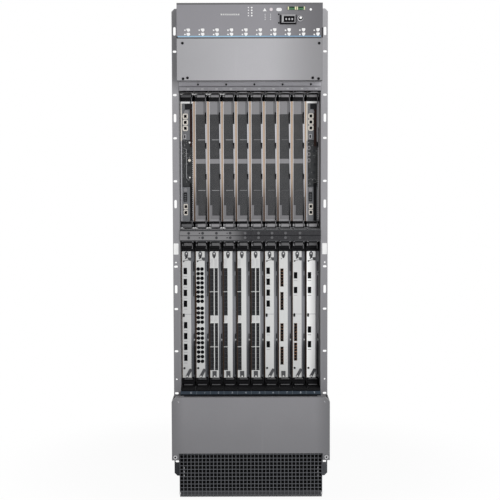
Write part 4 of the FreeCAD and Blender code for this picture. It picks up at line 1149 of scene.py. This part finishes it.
def controlFrame(onRight):
    low = upperLow
    high = upperHigh
    foot, window = control["window"]
    left, right = control["bandRight" if onRight else "bandLeft"]
    rows = [
        ("frameTop", "white", (1.6, 36 if onRight else 31), (-5, 1), (high - 6.2, high - 0.3), 0.5),
        ("frameEdge", "cream", (1.5, 5.2), (-4.6, 1), (window - 2, high - 5), 0.5),
        ("frameFoot", "fabricEdge", (1.5, 4.6), (-4.4, 1), (low + 0.5, window - 2), 0.5),
        ("darkBand", "darkBrown", (left, right), (-1.2, 5), (window - 20, high - 7), 0.4),
        ("footBand", "black", (left - 0.8, right), (-1.2, 5), (low + 1, foot + 12), 0.4),
        ("fingerRail", "fabricEdge", (38.8, 40.8), (-4.4, 1), (low + 4, window), 0.4),
    ]
    bits = [fingerRow(low + 6, window, 37.6, "white")]
    if onRight:
        rows += [("sideLine", "fabricEdge", (35.2, 38.4), (-4.2, 1), (window - 6, high - 8), 0.5),
                 ("sideHook", "black", (37.6, 40.2), (-5, 1), (window - 22, window + 40), 0.5)]
    else:
        rows.append(("frameTab", "white", (35.6, 40), (-5, 1), (high - 6.2, high - 0.3), 0.5))
        bits.append(edgeStrip("edgeGasket", fabric["gasketX"], 8, 0.9))
    return blocks(rows) + bits


def controlSockets():
    bits = []
    for across, high, corner, rim, levels in control["rings"]:
        places = [(control["x"], 0, z) for z in levels]
        ring = block("socketRing", "cream", (-across, across), face(-2.6, 0.5), (-high, high),
                     corner, 4, deep)
        press(ring, faceFront, rim, (0, 3.0, 0))
        bevel(ring, 0.4, 1, ahead(faceY - 2.5))
        wide, tall = across - rim - 0.2, high - rim - 0.2
        inside = block("socketInside", "void", (-wide, wide), face(-1.4, 0.4), (-tall, tall),
                       corner - rim, 2, deep)
        press(inside, faceFront, 0.9, (0, 0.9, 0))
        bits += spread(ring, places) + spread(inside, places)
    low, high = control["usb"]
    shell = block("usbShell", "fabricEdge", (9.5, 18.5), face(-2.2, 1), (low - 1, high + 1), 0.5)
    press(shell, faceFront, 1.6, (0, 2.4, 0))
    tongue = block("usbTongue", "void", (11, 16.4), face(-1.2, 0.4), (low + 0.6, high - 0.6), 0.2)
    return bits + [shell, tongue]


def controlWindow(onRight):
    y = faceY
    foot, head = control["window"]
    bits = [block("windowBoard", "windowBoard", (5.2, 36.6), (y + 2.6, y + 5.8), (foot + 1, head - 1), 0.2)]
    chip = block("windowChip", "portGrey", (0, 7), (y + 0.6, y + 3), (0, 9), 0.5)
    bits += spread(chip, [(x, 0, foot + rise) for x, rise in control["chips"]])
    pins = block("pinRow", "tray", (0, 1.0), (y + 0.6, y + 3), (0, 1.0), 0.2)
    repeatAlong(pins, 4, (0, 0, 3.2))
    bits += spread(pins, [(x, 0, foot + rise) for x, rise in control["pins"]])
    if onRight:
        stud = block("windowStud", "fabricFace", (5.6, 14.4), (y - 1.4, y + 3), (-6.5, 6.5), 2.4, 1, deep)
        press(stud, faceFront, 2.4, (0, 2.6, 0))
        hole = block("studHole", "void", (7.6, 12.4), (y - 0.2, y + 1.4), (-3.6, 3.6), 0.6)
        studs = [(0, 0, foot + 83 + 19.6 * k) for k in range(3)]
        bits += spread(stud, studs) + spread(hole, studs)
    else:
        wire = startRound("windowWire", "fabricEdge", "z", 0.8, 92, (18.7, y + 0.4, foot + 74), 8)
        draw(wire, lambda c, n: n.z < -0.9, (9, 0, -8))
        ring = startRound("wireRing", "cream", "y", 4.4, 2, (28.6, y + 0.6, foot + 84), 16)
        press(ring, faceFront, 1.4, (0, 1.4, 0))
        bits += [wire, ring, roundHead("windowPost", "white", 3.0, 4, (29, y - 0.4, head - 7), 12, 0.8, 2),
                 roundHead("windowPost", "white", 2.4, 4, (29.4, y - 0.4, foot + 30), 12, 0.8, 2)]
    return bits


def controlLatch(onRight):
    y = faceY
    low, high = control["latch"]
    latch = block("faceLatch", "port", (9.4, 20.4), (y - 2.6, y + 0.5), (low, high), 2.0, 2, deep)
    press(latch, faceFront, 1.6, (0, 1.2, 0))
    rib = block("latchRib", "controlFace", (11.4, 18.4), (y - 2.4, y), (low + 4, low + 6.4), 0.5)
    repeatAlong(rib, 4, (0, 0, 5.8))
    disc = roundHead("latchDisc", "fabricFace", 6.2, 1.6, (15, y - 0.8, high + 8), 20, 0.4, 2)
    across = (14, 34) if onRight else (15.5, 36)
    cover = block("coverBlock", "port", across, (y - 3.2, y + 0.5), control["coverZ"], 0.6)
    press(cover, faceFront, 2.2, (0, 1.2, 0))
    arch = roundHead("coverArch", "fabricFace", 7.6, 2.4, (control["x"] + 3, y - 1, control["archZ"]), 20,
                     0.6, 2)
    return [latch, rib, disc, cover, arch]


for title, slot in (("Left", 0), ("Right", cards["last"])):
    onRight = title == "Right"
    parts = controlFrame(onRight) + controlSockets() + controlWindow(onRight) + controlLatch(onRight)
    deal(upperCard, f"controlCard{title}Parts", "card_frame", parts, [slot])
print("control cards made")

# Line cards: latches, ports, ribs and carrier parts
line = {"latchX": 17.0, "latchZ": 743.8, "swingZ": 723.5, "dot": (10.8, 727.0), "footZ": 350.4, "cageX": 14.7,
        "leverX": (37.7, 40.5), "studX": 40.6, "screwZ": 466.0, "studZ": 681.0,
        "levers": (("black", (686, 717)), ("shade", (606, 673)), ("black", (470, 486)),
                   ("black", (353, 462)))}


def topLatch():
    x = line["latchX"]
    z = line["latchZ"]
    plate = startRound("latchPlate", "latch", "y", 5.9, 1.6, (x, faceY - 0.7, z), 16)
    nudge(plate, lambda c: c.z < z - 2, (0, 0, -5.5))
    nudge(plate, lambda c: c.z < z - 10.5, (0, 0, -3.6))
    bevel(plate, 0.35, 1, ahead(faceY - 1.4))
    return [
        plate,
        roundHead("latchScrew", "white", 2.25, 2.4, (x, faceY - 2, z), 12, 0.8, 2),
        block("latchSlot", "void", (x - 1.2, x + 1.2), face(-1.75, -1), (z - 12, z - 5.4), 0.6, 2, deep),
        roundHead("latchNub", "carrier", 3.2, 2.2, (x, faceY - 1.1, z + 5.6), 10, 0.5),
    ]


def swingLatch():
    x = line["latchX"]
    z = line["swingZ"]
    wedge = block("swingHook", "latch", (x + 3.4, x + 14.6), face(-2.2, 0.1), (z - 2, z + 8))
    nudge(wedge, lambda c: c.z < z and c.x < x + 8, (4.5, 0, 0))
    bevel(wedge, 1.2, 2, deep)
    press(wedge, faceFront, 1.6, (0, 0.6, 0))
    arm = block("swingArm", "latch", (x - 10, x + 9), face(-1.6, 0.1), (z - 1.6, z - 0.2), 0.3)
    swing(arm, anything, -10, "Y", (x, faceY, z))
    pawl = block("swingPawl", "dark", (x - 4.6, x + 2.2), face(-2.4, 0.1), (z + 4.6, z + 7.4), 0.5)
    swing(pawl, anything, -38, "Y", (x - 1.2, faceY, z + 6))
    knob = roundHead("swingKnob", "dark", 2.4, 2.6, (x - 8.4, faceY - 1.2, z - 3.8), 12, 0.5)
    return [wedge, arm, pawl, knob]


def footScrew():
    return roundHead("footScrew", "white", 2.7, 2.6, (line["latchX"], faceY - 2.2, line["footZ"]), 12, 0.8, 2)


def footArm():
    x = line["latchX"]
    z = line["footZ"]
    arm = block("footArm", "latch", (x - 4.6, x + 4.6), face(-2.2, 0.1), (z - 3, z + 27), 2.6, 2, deep)
    press(arm, faceFront, 1.7, (0, 0.7, 0))
    swing(arm, anything, 28, "Y", (x, faceY, z))
    knob = roundHead("footKnob", "dark", 3.4, 2.6, (x - 8.4, faceY - 1.2, z + 26.5), 12, 0.5)
    return [arm, knob, footScrew()]


def footBrace():
    x = line["latchX"]
    z = line["footZ"]
    brace = block("footBrace", "latch", (x - 6.4, x + 6.4), face(-2.0, 0.1), (z - 2, z + 17))
    nudge(brace, lambda c: c.z > z + 10 and c.x < x, (-0.6, 0, 0))
    press(brace, faceFront, 2.4, (0, 1.0, 0))
    bevel(brace, 0.3, 1, ahead(faceY - 1.9))
    return [brace, footScrew()]


def splitLine():
    z = cards["splitZ"]
    seam = block("splitSeam", "carrier", (3.8, 32.2), face(-0.25, 0.2), (z - 0.6, z + 0.6), 0.15)
    knob = startRound("splitScrew", "dark", "y", 3.2, 2.4, (7.6, faceY - 1.1, z - 3.2), 12)
    nudge(knob, lambda c: c.z > z - 3, (0, 0, 2.6))
    nudge(knob, lambda c: c.z < z - 3.4, (0, 0, -2.6))
    bevel(knob, 0.5, 1, ahead(faceY - 2.2))
    press(knob, faceFront, 1.2, (0, 0.8, 0))
    return [seam, knob]


def carrierParts(paint):
    y = faceY + 15
    low = lineLow
    high = lineHigh
    bits = blocks([("carrierLever", shade, line["leverX"], (-1.6, 0.4), rise, 1.2, 2, deep)
                   for shade, rise in line["levers"]], y=y)
    bits += spread(panelScrew("zinc", 2.3, 1.6), [(line["studX"], y, line["screwZ"])])
    stud = roundHead("carrierStud", "carrier", 2.2, 1.6, (line["studX"], y - 0.8, line["studZ"]), 10, 0.5)
    return bits + [stud] + blocks((
        ("carrierRib", paint, (33, 35.2), (11, 15.4), (low + 1, high - 1), 0.6, 2, uprightAhead(y)),
        ("brownEdge", "brownEdge", (0.6, 3.2), (-0.3, 22), (low, high), 0.2),
        ("plateEdge", "carrier", (30.8, 32.6), (-0.3, 4), (low + 0.5, high - 0.5), 0.25),
    ))


portPlan = {
    "rows": {  # from the end of the plate: first, step, how many, shift of the port in its rim
        "dense": (-60.3, -34.9, 4, -2.1),
        "sparse": (-74.0, -47.0, 2, -2.9),
        "denseFoot": (67.4, 34.9, 4, -3.2),
        "sparseFoot": (110.2, 47.0, 2, -3.2),
    },
    "cardRows": {0: ("dense", "denseFoot"), 6: ("dense", "sparseFoot"), 8: ("sparse",),
                 9: ("sparse", "sparseFoot")},
    "across": {0: -1.6, 6: -2.2, 7: -2.4, 8: -3.0, 9: -2.7},
    "portHalf": (5.5, 10.1),
    "jackX": ((10.8, 23.6), (10.0, 22.2)),
    "jackPitch": 14.7,
    "stripX": (4.8, 18.0),
    "stripLeft": 2.6,
    "stripWide": 10.4,
    "stripTop": 52.4,
    "stripFoot": 27.8,
    "stripHigh": 73.5,
    "stripPitch": 75.3,
    "stripMoves": ((4.0, 3.2, 1.6), (3.7, 2.1, 1.0)),
    "webs": 7,
    "cageX": 9.5,
    "cageCells": 6,
    "shortHigh": 57.8,
    "shortPitch": 75.1,
    "shortFoot": 42.8,
    "pairFoot": 56.6,
    "pairPitch": 61.3,
    "cageDown": {7: (-1.5, -1.5, -2.7, -2.7), 8: (-2.4, -1.0)},
}


def singlePorts(slot):
    wide, tall = portPlan["portHalf"]
    paint = "lastPlate" if slot == cards["last"] else "plate"
    rim = block("portRim", paint, (-7.6, 7.6), face(-0.3, 0.4), (-12.4, 12.4), 0.2)
    shell = block("portShell", "void", (-wide, wide), face(-0.8, 0), (-tall, tall))
    press(shell, faceFront, 0.8, (0, 0.35, 0))
    tag = block("portTag", "fabricEdge", (-wide, wide), face(-0.2, 0.1), (-tall - 8.2, -tall - 5.8), 0.1)
    port = join("portInsert", [shell, tag])
    places = []
    for row in portPlan["cardRows"][slot]:
        first, step, count, shift = portPlan["rows"][row]
        end = lineHigh if first < 0 else lineLow
        places += [(end + first + step * k, shift) for k in range(count)]
    x = line["cageX"]
    bits = spread(rim, [(x, 0, z) for z, shift in places])
    return bits + spread(port, [(x + portPlan["across"][slot], 0, z + shift) for z, shift in places])


def jackPorts():
    low = lineLow
    high = lineHigh
    pitch = portPlan["jackPitch"]
    rows = [low + 54.6 + pitch * k for k in range(8)]
    rows += [(low + high) / 2 + pitch * (k - 1.5) for k in range(4)]
    rows += [high - 56.2 - pitch * k for k in range(8)]
    drops = [-2.0 + 0.25 * k for k in range(8)] + [-1.6] * 4 + [0] * 8
    rim = block("jackRim", "plate", (-6.35, 6.35), face(-0.3, 0.4), (-7.3, 7.3), 0.2)
    plug = roundHead("jackPlug", "void", 6.0, 1.0, (0, faceY - 0.3, 0), 14, 0.3)
    press(plug, flatFront, 1.2, (0, 0.3, 0))
    rimX, plugX = portPlan["jackX"]
    bits = spread(rim, [(x, 0, z) for x in rimX for z in rows])
    return bits + spread(plug, [(x, 0, z + drop) for x in plugX for z, drop in zip(rows, drops)])


def stripWebs(x, low):
    wide = portPlan["stripWide"]
    last = portPlan["webs"] - 1
    pitch = portPlan["stripHigh"] / last - 0.15
    web = block("stripWeb", "portWeb", (x, x + wide), face(0.9, 3), (low, low + 0.9), 0.2)
    repeatAlong(web, portPlan["webs"], (0, 0, pitch))
    spine = block("stripSpine", "port", (x + wide * 0.45, x + wide * 0.62), face(1.4, 3),
                  (low, low + pitch * last), 0.3)
    return [web, spine]


def stripEnds(x, left, foot, moves):
    bar = foot + portPlan["stripHigh"]
    head = bar + portPlan["stripPitch"]
    space = portPlan["stripPitch"] - portPlan["stripHigh"]
    footMove, barMove, headMove = moves
    ends = (("portGrey", (foot - footMove, foot + 0.3)), ("portGrey", (bar - 0.2, bar + space + 0.2)),
            ("plate", (bar - barMove, bar + space - barMove)), ("plate", (head - headMove, head + 0.2)))
    return blocks([("stripEnd", paint, (left, x + 10.5), (-0.45, 2.6), rise, 0.15) for paint, rise in ends])


def ribBlock(x, low, high):
    rib = block("ribGroove", "fabricEdge", (x + 1.8, x + 2.7), face(-1.15, 0), (low + 2.2, high - 2.2), 0.2)
    repeatAlong(rib, 3, (2.6, 0, 0))
    return [block("ribBlock", "plate", (x, x + 11.6), face(-0.9, 0.2), (low, high), 0.3), rib]


def stripPorts(columns):
    low = lineLow
    high = lineHigh
    tall = portPlan["stripHigh"]
    pitch = portPlan["stripPitch"]
    foot = low + portPlan["stripFoot"]
    head = high - portPlan["stripTop"] - tall
    rows = (foot, foot + pitch, head, head - pitch)
    bits = []
    for x in columns:
        left = x
        if x == portPlan["stripX"][0]:  # the first column reaches out to the edge of the plate
            left = portPlan["stripLeft"]
            bits += blocks([("stripMargin", "portGrey", (left, x + 0.1), (-0.3, 1), (row, row + tall), 0.2)
                            for row in rows])
        for row in rows:
            bits += stripWebs(x, row)
        for row, moves in zip((rows[0], rows[3]), portPlan["stripMoves"]):
            bits += stripEnds(x, left, row, moves)
        bits += ribBlock(x - 0.6, high - 50.5, high - 22) + ribBlock(x - 0.6, low + 180.6, low + 199.5)
    return bits


def cageRows(slot):
    low = lineLow
    if slot in cards["split"]:
        return [low + portPlan["pairFoot"] + portPlan["pairPitch"] * k for k in range(2)]
    foot = low + portPlan["shortFoot"]
    head = lineHigh - portPlan["stripTop"] - portPlan["shortHigh"]
    return [foot, foot + portPlan["shortPitch"], head, head - portPlan["shortPitch"]]


def cagePorts(slot):
    x = portPlan["cageX"]
    cells = portPlan["cageCells"]
    tall = portPlan["shortHigh"]
    across = span((x, x + portPlan["stripWide"]), portPlan["across"][slot])
    bits = []
    for low, down in zip(cageRows(slot), portPlan["cageDown"][slot]):
        rise = span((low, low + tall), down)
        grid = startGrid("cageGrid", "cage", 1, cells, across, faceY - 0.6, rise)
        openCells(grid, 3.0, 0.6)
        tick = block("tickMark", "fabricEdge", (25.4, 27.6), face(-0.2, 0.1), (low + 4, low + 5.2), 0.1)
        repeatAlong(tick, cells, (0, 0, (tall - 8) / (cells - 1)))
        bits += [grid, tick] + blocks((
            ("cageRim", "plate", (x - 3.2, x + 11.6), (-0.3, 0.4), (low - 1.2, low + tall + 1.2), 0.2),
            ("cageBack", "void", across, (-0.5, 0), rise, 0.1),
        ))
    return bits


def lineCards():
    # the last slot takes the brighter carrier copy, painted light against the side wall's shade
    for paint, places in (("carrier", slots[:-1]), ("lastCarrier", slots[-1:])):
        deal(lineCard, "lineCard{}Carrier", "card_frame", carrierParts(paint), places)
    plain = [slot for slot in slots if slot not in cards["swing"]]
    dot = spread(lampHead("dark", 1.5, 0.8, 8), [(line["dot"][0], faceY, line["dot"][1])])
    latches = ((topLatch(), slots), (swingLatch() + footArm(), cards["swing"]), (dot + footBrace(), plain),
               (splitLine(), cards["split"]))
    for bits, places in latches:
        deal(lineCard, "lineCard{}Latches", "card_frame", bits, places)
    ports = [(singlePorts(slot), [slot]) for slot in portPlan["cardRows"]]
    ports += [(cagePorts(slot), [slot]) for slot in cards["cages"]]
    ports += [(jackPorts(), cards["jacks"]), (stripPorts(portPlan["stripX"]), cards["wideStrips"]),
              (stripPorts(portPlan["stripX"][:1]), cards["strips"])]
    for bits, places in ports:
        deal(lineCard, "lineCard{}Ports", "card_plate", bits, places)


lineCards()
print("line cards made")

# Levers: end tabs, a grip pad, a nub and thin edge strips
lever = {"tabs": ((4.6, 10.4, -2.2), (33.8, 39.4, 2.2)), "tabZ": (780.4, 784.6), "padX": (9.8, 35.2),
         "padZ": (769.8, 779.3), "edgeX": (35.6, 36.8), "edgeZ": (756, 774), "nubX": (3.6, 8.0),
         "nubZ": (768.5, 776), "darkNubs": 5, "lineX": (10.3, 32.2), "lineZ": (783.0, 785.6), "firstLine": 3}


def upperLever(slot):
    return f"line_lever_upper_{slot}"


def lowerLever(slot):
    return f"line_lever_lower_{slot}"


def leverTrim():
    y = faceY - 2
    # the lever pad and foot wing take the lighter grip copy: painted light
    pad = block("leverPad", "leverGrip", lever["padX"], (y - 12.8, y - 4), lever["padZ"], 0.9, 2)
    press(pad, faceFront, 1.4, (0, 0.5, 0))
    bits = [pad, block("leverEdge", "labelCard", lever["edgeX"], (y - 4.4, y - 2.8), lever["edgeZ"], 0.3)]
    for left, right, slant in lever["tabs"]:
        tab = block("leverTab", "fabricEdge", (left, right), (y - 6.2, y - 3), lever["tabZ"])
        nudge(tab, lambda c: c.z < lever["tabZ"][0] + 1 and abs(c.x - 22) < 14, (slant, 0, 0))
        bevel(tab, 0.4)
        bits.append(tab)
    dark = lever["darkNubs"]
    upper = [(bits, slots)]
    for paint, places in (("fabricGroove", slots[:dark]), ("labelCard", slots[dark:])):
        nub = block("leverNub", paint, lever["nubX"], (y - 6, y - 3), lever["nubZ"], 0.7, 2)
        upper.append(([nub], places))
    rim = block("leverLine", "labelMark", lever["lineX"], (y - 6.2, y - 3), lever["lineZ"], 0.4)
    upper.append(([rim], slots[lever["firstLine"]:]))
    for bits, places in upper:
        deal(upperLever, "upperLever{}Trim", "lever_plastic", bits, places)
    deal(lowerLever, "lowerLever{}Trim", "lever_plastic", blocks((
        ("footBar", "grip", (8, 36), (-12.7, -8), (324.4, 327.0), 0.5),
        ("footWing", "leverGrip", (9, 35), (-4.6, -2.6), (339.0, 344), 0.5),
    ), y=y), slots)


leverTrim()
print("levers made")

# Inside of each card: fins on the heat sinks, chips, memory modules, capacitors
boardKit = {"boardX": 9.9, "sinkX": 31.9, "sinkZ": (-90, 90), "fins": 15, "finStep": 8.0,
            "chips": ((90, 120), (90, 0), (90, -120), (400, 60), (400, -60))}


def cardBoards():
    x = boardKit["boardX"]
    sink = boardKit["sinkX"]
    bits = blocks([("sinkFin", "sinkMetal", (sink - 0.5, sink + 5), (197, 198.4), (z - 44, z + 44), 0.4, 1,
                    lambda c, d: abs(d.z) > 0.9 and c.x > sink) for z in boardKit["sinkZ"]])
    for fin in bits:
        repeatAlong(fin, boardKit["fins"], (0, boardKit["finStep"], 0))
    chip = block("boardChip", "port", (x - 0.2, x + 3), (-16, 16), (-16, 16), 0.6)
    press(chip, lambda c, n: n.x > 0.9, 5, (0.4, 0, 0))
    bits += spread(chip, [(0, faceY + depth, z) for depth, z in boardKit["chips"]])
    stick = block("memoryStick", "board", (x - 0.2, x + 20), (-0.8, 0.8), (-60, 60))
    press(stick, faceFront, 3, (0, -0.8, 0))
    repeatAlong(stick, 4, (0, 9, 0))
    bits += spread(stick, [(0, faceY + 130, 0)])
    can = startRound("boardCan", "zinc", "x", 4, 9, (x + 4.3, 0, 0), 12)
    bevel(can, 0.7, 1, lambda c, d: c.x > x + 8)
    bits += spread(can, [(0, faceY + 40 + 12 * k, side * 170) for k in range(4) for side in (-1, 1)])
    lineMiddle = (lineFloor + midLow) / 2
    upperMiddle = (midHigh + upperRoof) / 2
    owners = [lineCard(slot) for slot in slots] + [upperCard(slot) for slot in slots]
    places = [(slotX(slot), 0, middle) for middle in (lineMiddle, upperMiddle) for slot in slots]
    for owner, bit in zip(owners, spread(join("boardKit", bits), places)):
        title = owner.title().replace("_", "")
        keep(owner, title[0].lower() + title[1:] + "Board", "board", bit)


cardBoards()
print("card insides made")

# Rear: fan guards, tray screws, module vents and inlet blades
rear = {
    "fanX": 106.0,
    "fanZ": {"lower": (450.125, 674.375), "upper": (926.25, 1130.75)},
    "rings": (18, 34, 50, 66, 82),
    "wire": 1.2,
    "trayX": (4.6, 207.4),
    "trayZ": {"lower": (338.5, 786.0), "upper": (824.5, 1232.5)},
}


def fanGuard():
    bits = []
    for radius in rear["rings"]:
        deselect()
        bpy.ops.mesh.primitive_circle_add(vertices=6, radius=rear["wire"] * mm, fill_type="NOTHING",
                                          location=(radius * mm, 0, 0))
        ring = settle("guardRing", "zinc")
        pick(ring, "EDGE", anything)
        bpy.ops.mesh.spin(steps=36, angle=math.tau, center=(0, 0, 0), axis=(0, 1, 0))
        bpy.ops.mesh.select_all(action="SELECT")
        bpy.ops.mesh.remove_doubles(threshold=0.02 * mm)
        bpy.ops.mesh.normals_make_consistent(inside=False)
        leave()
        bits.append(ring)
    for degrees in (45, 135, 225, 315):
        bar = startRound("guardBar", "zinc", "x", 1.4, 74, (53, 0, 0), 8)
        draw(bar, lambda c, n: n.x > 0.9, (3, -3, 0))
        swing(bar, anything, degrees, "Y", (0, 0, 0))
        bits.append(bar)
    return join("fanGuard", bits)


def rearTrim():
    guards = []
    screws = []
    for row, side in fanTrays:
        sign = -1 if side == "left" else 1
        guards += [(sign * rear["fanX"], rearY + 4.5, z) for z in rear["fanZ"][row]]
        screws += [(sign * x, rearY, z) for x in rear["trayX"] for z in rear["trayZ"][row]]
    guards = spread(fanGuard(), guards)
    screws = spread(panelScrew("zinc", 4.0, 2.4), screws, turnRear)
    for index, (row, side) in enumerate(fanTrays):
        title = row.capitalize() + side.capitalize()
        keep(f"fan_tray_{row}_{side}", f"fanGuards{title}", "module_metal", *guards[2 * index:2 * index + 2])
        keep(f"fan_tray_{row}_{side}", f"trayScrews{title}", "module_metal", *screws[4 * index:4 * index + 4])


rearTrim()

module = {"count": 9, "margin": 16.0, "inletRise": 24.3, "inletHigh": 22.0, "vent": 17.0,
          "ventRise": (62, 96), "lampX": 10.0, "lampRise": 185.0}


def powerModules():
    y = rearY + 3
    left = module["margin"] - inner
    pitch = -left * 2 / module["count"]
    foot = coverLow + module["margin"]
    x = pitch / 2
    inlet = foot + module["inletRise"] + module["inletHigh"] / 2
    blades = [(offset, abs(offset)) for offset in (-6.5, 0, 6.5)]
    bits = blocks([("inletBlade", "zinc", (offset - 1, offset + 1), (-16, -5),
                    (-3 - aside * 0.4, 4 - aside * 0.5), 0.4) for offset, aside in blades], x, y, inlet)
    rim = block("inletRim", "black", (x - 15.4, x + 15.4), (y - 0.4, y + 1.2), (inlet - 13.4, inlet + 13.4))
    press(rim, lambda c, n: n.y > 0.9, 2.3, (0, -1.4, 0))
    pick(rim, "FACE", lambda c, n: abs(n.y) > 0.9 and abs(c.x - x) < 1 and abs(c.z - inlet) < 1)
    bpy.ops.mesh.delete(type="FACE")
    leave()
    across = (x - module["vent"], x + module["vent"])
    rise = span(module["ventRise"], foot)
    back = block("ventBack", "void", across, (y - 0.2, y + 0.15), rise, 0.05)
    vent = startGrid("moduleVent", "module", 7, 7, across, y + 0.9, rise)
    openCells(vent, 1.4, 0.7)
    grip = block("tabGrip", "terminal", (x - 3.6, x + 3.6), (y + 14, y + 24.6), (foot + 126, foot + 168),
                 1.4, 2)
    lamps = [(x + side * module["lampX"], y, foot + module["lampRise"]) for side in (-1, 1)]
    lights = spread(lampHead("lamp", 2.0, 1.2), lamps, turnRear)
    whole = join("moduleFace", bits + [rim, back, vent, grip] + lights)
    places = [(left + pitch * index, 0, 0) for index in range(module["count"])]
    keep("chassis", "powerModuleFaces", "module_metal", *spread(whole, places))


powerModules()
print("rear made")

# Rivets along the folded edges of the case
rivets = {"radius": 3.2, "height": 1.0, "step": 118.0, "rows": 13, "foot": 60.0, "inset": 18.0,
          "columns": (-262.0, 60.0, 404.0), "roofRows": (-190.0, 0.0, 190.0)}


def caseRivets():
    edge = inner + 2
    top = panelTop
    step = rivets["step"]
    first, last = rivets["columns"][0], rivets["columns"][-1]
    runs = [first + step * k for k in range(round((last - first) / step) + 1)]
    spots = [(y, rivets["foot"] + step * k) for y in rivets["columns"] for k in range(rivets["rows"])]
    spots += [(y, z) for y in runs for z in (rivets["inset"], top - rivets["inset"])]
    walls = ((turnLeft, [(-edge, y, z) for y, z in spots]), (turnRight, [(edge, y, z) for y, z in spots]),
             (turnUp, [(x, y, top) for x in rivets["roofRows"] for y in runs]))
    for turn, places in walls:
        head = lampHead("case", rivets["radius"], rivets["height"], 8)
        keep("chassis", "caseRivets", "case_paint", *spread(head, places, turn))


caseRivets()

for (body, name, slot), bits in pieces.items():
    whole = join(name, bits)
    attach(whole, body)
print("pieces joined:", len(pieces))

# Floor, light and camera
stage = {"floorSize": 40.0, "floorGlow": 0.94, "worldLight": 0.5, "keyPower": 150.0,
         "keyAt": (1.7, -5.4, 1.75), "keyAim": (0, -0.3, 0.8), "keySize": 2.2}


def makeFloor():
    deselect()
    bpy.ops.mesh.primitive_plane_add(size=stage["floorSize"], location=(0, 0, -0.5 * mm))
    floor = bpy.context.object
    floor.name = "studioFloor"
    finish = Finish("studioFloor", Roughness=0.9, Specular_IOR_Level=0.1)
    distance = finish.add("ShaderNodeVectorMath", {"operation": "LENGTH"}, {0: finish.place}, "Value")
    tone = finish.mix(finish.noise(3, 2), (0.9, 0.9, 0.9, 1), (0.93, 0.93, 0.93, 1))
    finish.feed(Base_Color=tone)
    glow = finish.add("ShaderNodeEmission", {}, {"Color": (1, 1, 1, 1), "Strength": 1.0})
    share = stage["floorGlow"] + finish.ramp(distance, 0.5, 1.0) * (1 - stage["floorGlow"])
    shader = Socket(finish, finish.shader.outputs[0])
    blend = finish.add("ShaderNodeMixShader", {}, {0: share * finish.seen(), 1: shader, 2: glow})
    finish.tree.links.new(blend.output, finish.tree.nodes["Material Output"].inputs["Surface"])
    floor.data.materials.append(finish.material)


def makeWorld():
    world = bpy.data.worlds.new("studioWorld")
    bpy.context.scene.world = world
    world.use_nodes = True
    sheet = Sheet(world.node_tree)
    strength = stage["worldLight"] + sheet.seen() * (1 - stage["worldLight"])
    back = world.node_tree.nodes["Background"]
    back.inputs["Color"].default_value = (1, 1, 1, 1)
    world.node_tree.links.new(strength.output, back.inputs["Strength"])


def makeLight():
    bpy.ops.object.light_add(type="AREA", location=stage["keyAt"])
    lamp = bpy.context.object
    lamp.name = "keyLight"
    lamp.data.energy = stage["keyPower"]
    lamp.data.size = stage["keySize"]
    aim = Vector(stage["keyAim"]) - lamp.location
    lamp.rotation_euler = aim.to_track_quat("-Z", "Y").to_euler()


cameraPlan = {"lens": 93.6, "sensor": 36.0, "x": -0.2, "reach": 4050.55, "z": 1047.3, "pitch": 4.06,
              "roll": 0.157}


def makeCamera():
    place = Vector((cameraPlan["x"], flangeY - cameraPlan["reach"], cameraPlan["z"])) * mm
    bpy.ops.object.camera_add(location=place)
    camera = bpy.context.object
    camera.data.lens = cameraPlan["lens"]
    camera.data.sensor_width = cameraPlan["sensor"]
    camera.rotation_euler = (math.radians(90 - cameraPlan["pitch"]), math.radians(cameraPlan["roll"]), 0)
    bpy.context.scene.camera = camera


makeFloor()
makeWorld()
makeLight()
makeCamera()
bpy.context.scene.view_settings.view_transform = "Standard"
